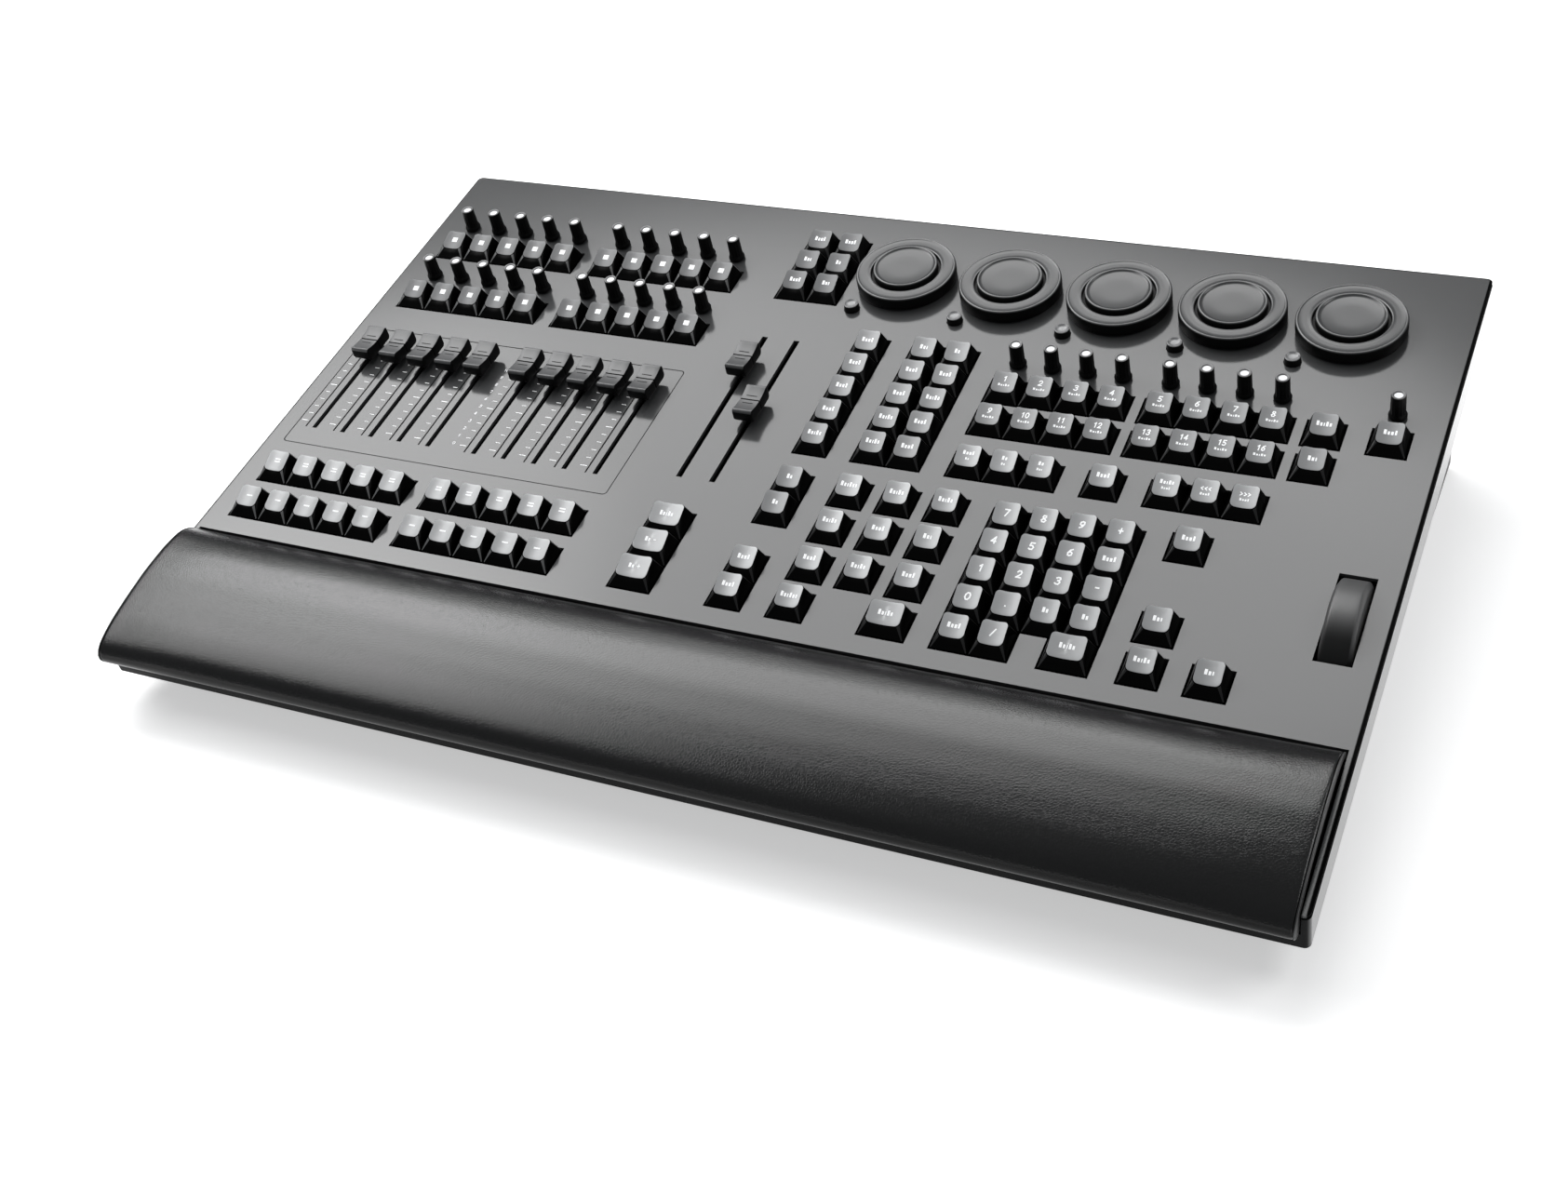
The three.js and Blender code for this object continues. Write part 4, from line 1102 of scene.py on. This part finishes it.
def swollen(mesh):
    """The mesh filled by a cloth simulation under pressure; no point moves further than the cap."""
    work = bpy.data.objects.new("fill_work", mesh)
    bpy.context.scene.collection.objects.link(work)
    start = [vertex.co.copy() for vertex in mesh.vertices]
    back = PANEL.inverted()
    fixed = work.vertex_groups.new(name="fixed")
    placed = [back @ point for point in start]
    ends = (PAD_LEFT + END_PLATE + 0.5, PAD_RIGHT - END_PLATE - 0.5)
    fixed.add([i for i, point in enumerate(placed)
               if held_down(point.y, point.z) or not ends[0] < point.x < ends[1]], 1.0, "REPLACE")
    cloth = work.modifiers.new("fill", "CLOTH")
    cloth.settings.quality = 6
    cloth.settings.mass = 0.3
    cloth.settings.tension_stiffness = 20
    cloth.settings.compression_stiffness = 20
    cloth.settings.bending_stiffness = 2.0
    cloth.settings.use_pressure = True
    cloth.settings.uniform_pressure_force = PAD_PRESSURE
    cloth.settings.vertex_group_mass = "fixed"
    cloth.settings.effector_weights.gravity = 0
    cloth.collision_settings.use_collision = False
    cloth.point_cache.frame_start = PAD_FIRST_FRAME
    cloth.point_cache.frame_end = PAD_LAST_FRAME
    for step in range(PAD_FIRST_FRAME, PAD_LAST_FRAME + 1):
        bpy.context.scene.frame_set(step)
    filled = bpy.data.meshes.new_from_object(work.evaluated_get(bpy.context.evaluated_depsgraph_get()))
    cap = PAD_SWELL * 0.001
    moves = []
    for vertex, origin in zip(filled.vertices, start):
        move = vertex.co - origin
        moves.append(move * (cap / move.length) if move.length > cap else move)
    near = [[] for _ in moves]
    for edge in filled.edges:
        a, b = edge.vertices
        near[a].append(b)
        near[b].append(a)
    for _ in range(PAD_EASE):
        moves = [(move + sum((moves[k] for k in near[i]), Vector())) / (1 + len(near[i]))
                 for i, move in enumerate(moves)]
    for vertex, origin, move in zip(filled.vertices, start, moves):
        vertex.co = origin + move
    work.modifiers.clear()
    work.data = filled
    fine = work.modifiers.new("fine", "SUBSURF")
    fine.levels = 1
    done = bpy.data.meshes.new_from_object(work.evaluated_get(bpy.context.evaluated_depsgraph_get()))
    bpy.context.scene.frame_set(PAD_FIRST_FRAME)
    bpy.data.objects.remove(work)
    return done


def pad_mesh(outline):
    """The pad before it is filled: the outline lofted from end to end, a little undersized."""
    shape = Shape()
    left, right = PAD_LEFT + END_PLATE, PAD_RIGHT - END_PLATE
    stations = [(left + d, inset) for d, inset in PAD_END_INSETS]
    middle = round((right - left) / PAD_STEP)
    stations += [(left + (right - left) * i / middle, 0.0) for i in range(1, middle)]
    stations += [(right - d, inset) for d, inset in reversed(PAD_END_INSETS)]
    rings = [[(u, v, w) for v, w in shrunk(outline, inset + PAD_START_INSET)] for u, inset in stations]
    shape.loft(rings, 0, low=False, high=False)
    count = len(outline)
    shape.faces.append(list(range(count)))
    shape.faces.append([(len(rings) - 1) * count + i for i in reversed(range(count))])
    mesh = bpy.data.meshes.new("palm_rest_cushion")
    mesh.from_pydata([tuple(PANEL @ Vector(p)) for p in shape.points], [], shape.faces)
    work = bmesh.new()
    work.from_mesh(mesh)
    bmesh.ops.recalc_face_normals(work, faces=work.faces)
    work.to_mesh(mesh)
    work.free()
    return mesh


def end_plates(outline):
    """A thin plate with eased edges over each end of the pad."""
    ends = Shape()
    count = len(outline)
    for u0, u1 in ((PAD_LEFT, PAD_LEFT + END_PLATE), (PAD_RIGHT - END_PLATE, PAD_RIGHT)):
        start = len(ends.points)
        rings = []
        for u, inset in ((u0, 0.75), (u0 + 0.12, 0.55), (u1 - 0.12, 0.55), (u1, 0.75)):
            rings.append([(u, v, w) for v, w in shrunk(outline, inset)])
        ends.loft(rings, 0, low=False, high=False)
        last = start + (len(rings) - 1) * count
        ends.faces.append([start + i for i in range(count)])
        ends.faces.append([last + i for i in reversed(range(count))])
        ends.marks += [0, 0]
    return ends


def build_pad():
    outline = softened(resampled(PAD, 3.0), 2)
    mesh = pad_mesh(outline)
    mesh = swollen(mesh)
    mesh.materials.clear()
    mesh.materials.append(LEATHER)
    mesh.polygons.foreach_set("use_smooth", [True] * len(mesh.polygons))
    mesh.update()
    mesh.set_sharp_from_angle(angle=math.radians(70))
    pad = bpy.data.objects.new("palm_rest_cushion", mesh)
    bpy.context.scene.collection.objects.link(pad)
    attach(pad, "desk")
    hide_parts("palm_rest_pad")
    make("palm_rest_ends", end_plates(outline), (REST_EDGE,), "desk", sharp=50)


# ------------------------------------------------------------------ carried-over CAD nodes
NODE_LOOKS = {
    "tray": (TRAY_PAINT, 0.35), "top_panel": (PANEL_PAINT, 0.22), "fader_plate": (PANEL_PAINT, 0.12),
    "palm_rest_base": (CORE, 0.6), "control_board": (BOARD, 0.2), "wheel_axle": (STEEL, 0.2),
    "base_housing": (HOUSING_PAINT, 0.6), "rear_panel": (HOUSING_PAINT, 0.3), "power_inlet": (SOCKET, 0.3),
    "power_supply": (CASE, 0.6), "feet_front": (RUBBER, 0.8), "feet_rear": (RUBBER, 0.8),
}


def dress_nodes():
    """The CAD solids that stay in view get their material and slightly eased edges."""
    for name, (material, bevel) in NODE_LOOKS.items():
        piece = NODES[name]
        piece.data.materials.clear()
        piece.data.materials.append(material)
        add_bevel(piece, bevel)


add_camera()
add_stage()
dress_nodes()
build_keys()
build_knobs()
build_dials()
build_buttons()
build_faders()
build_scale()
build_wheel()
build_pad()
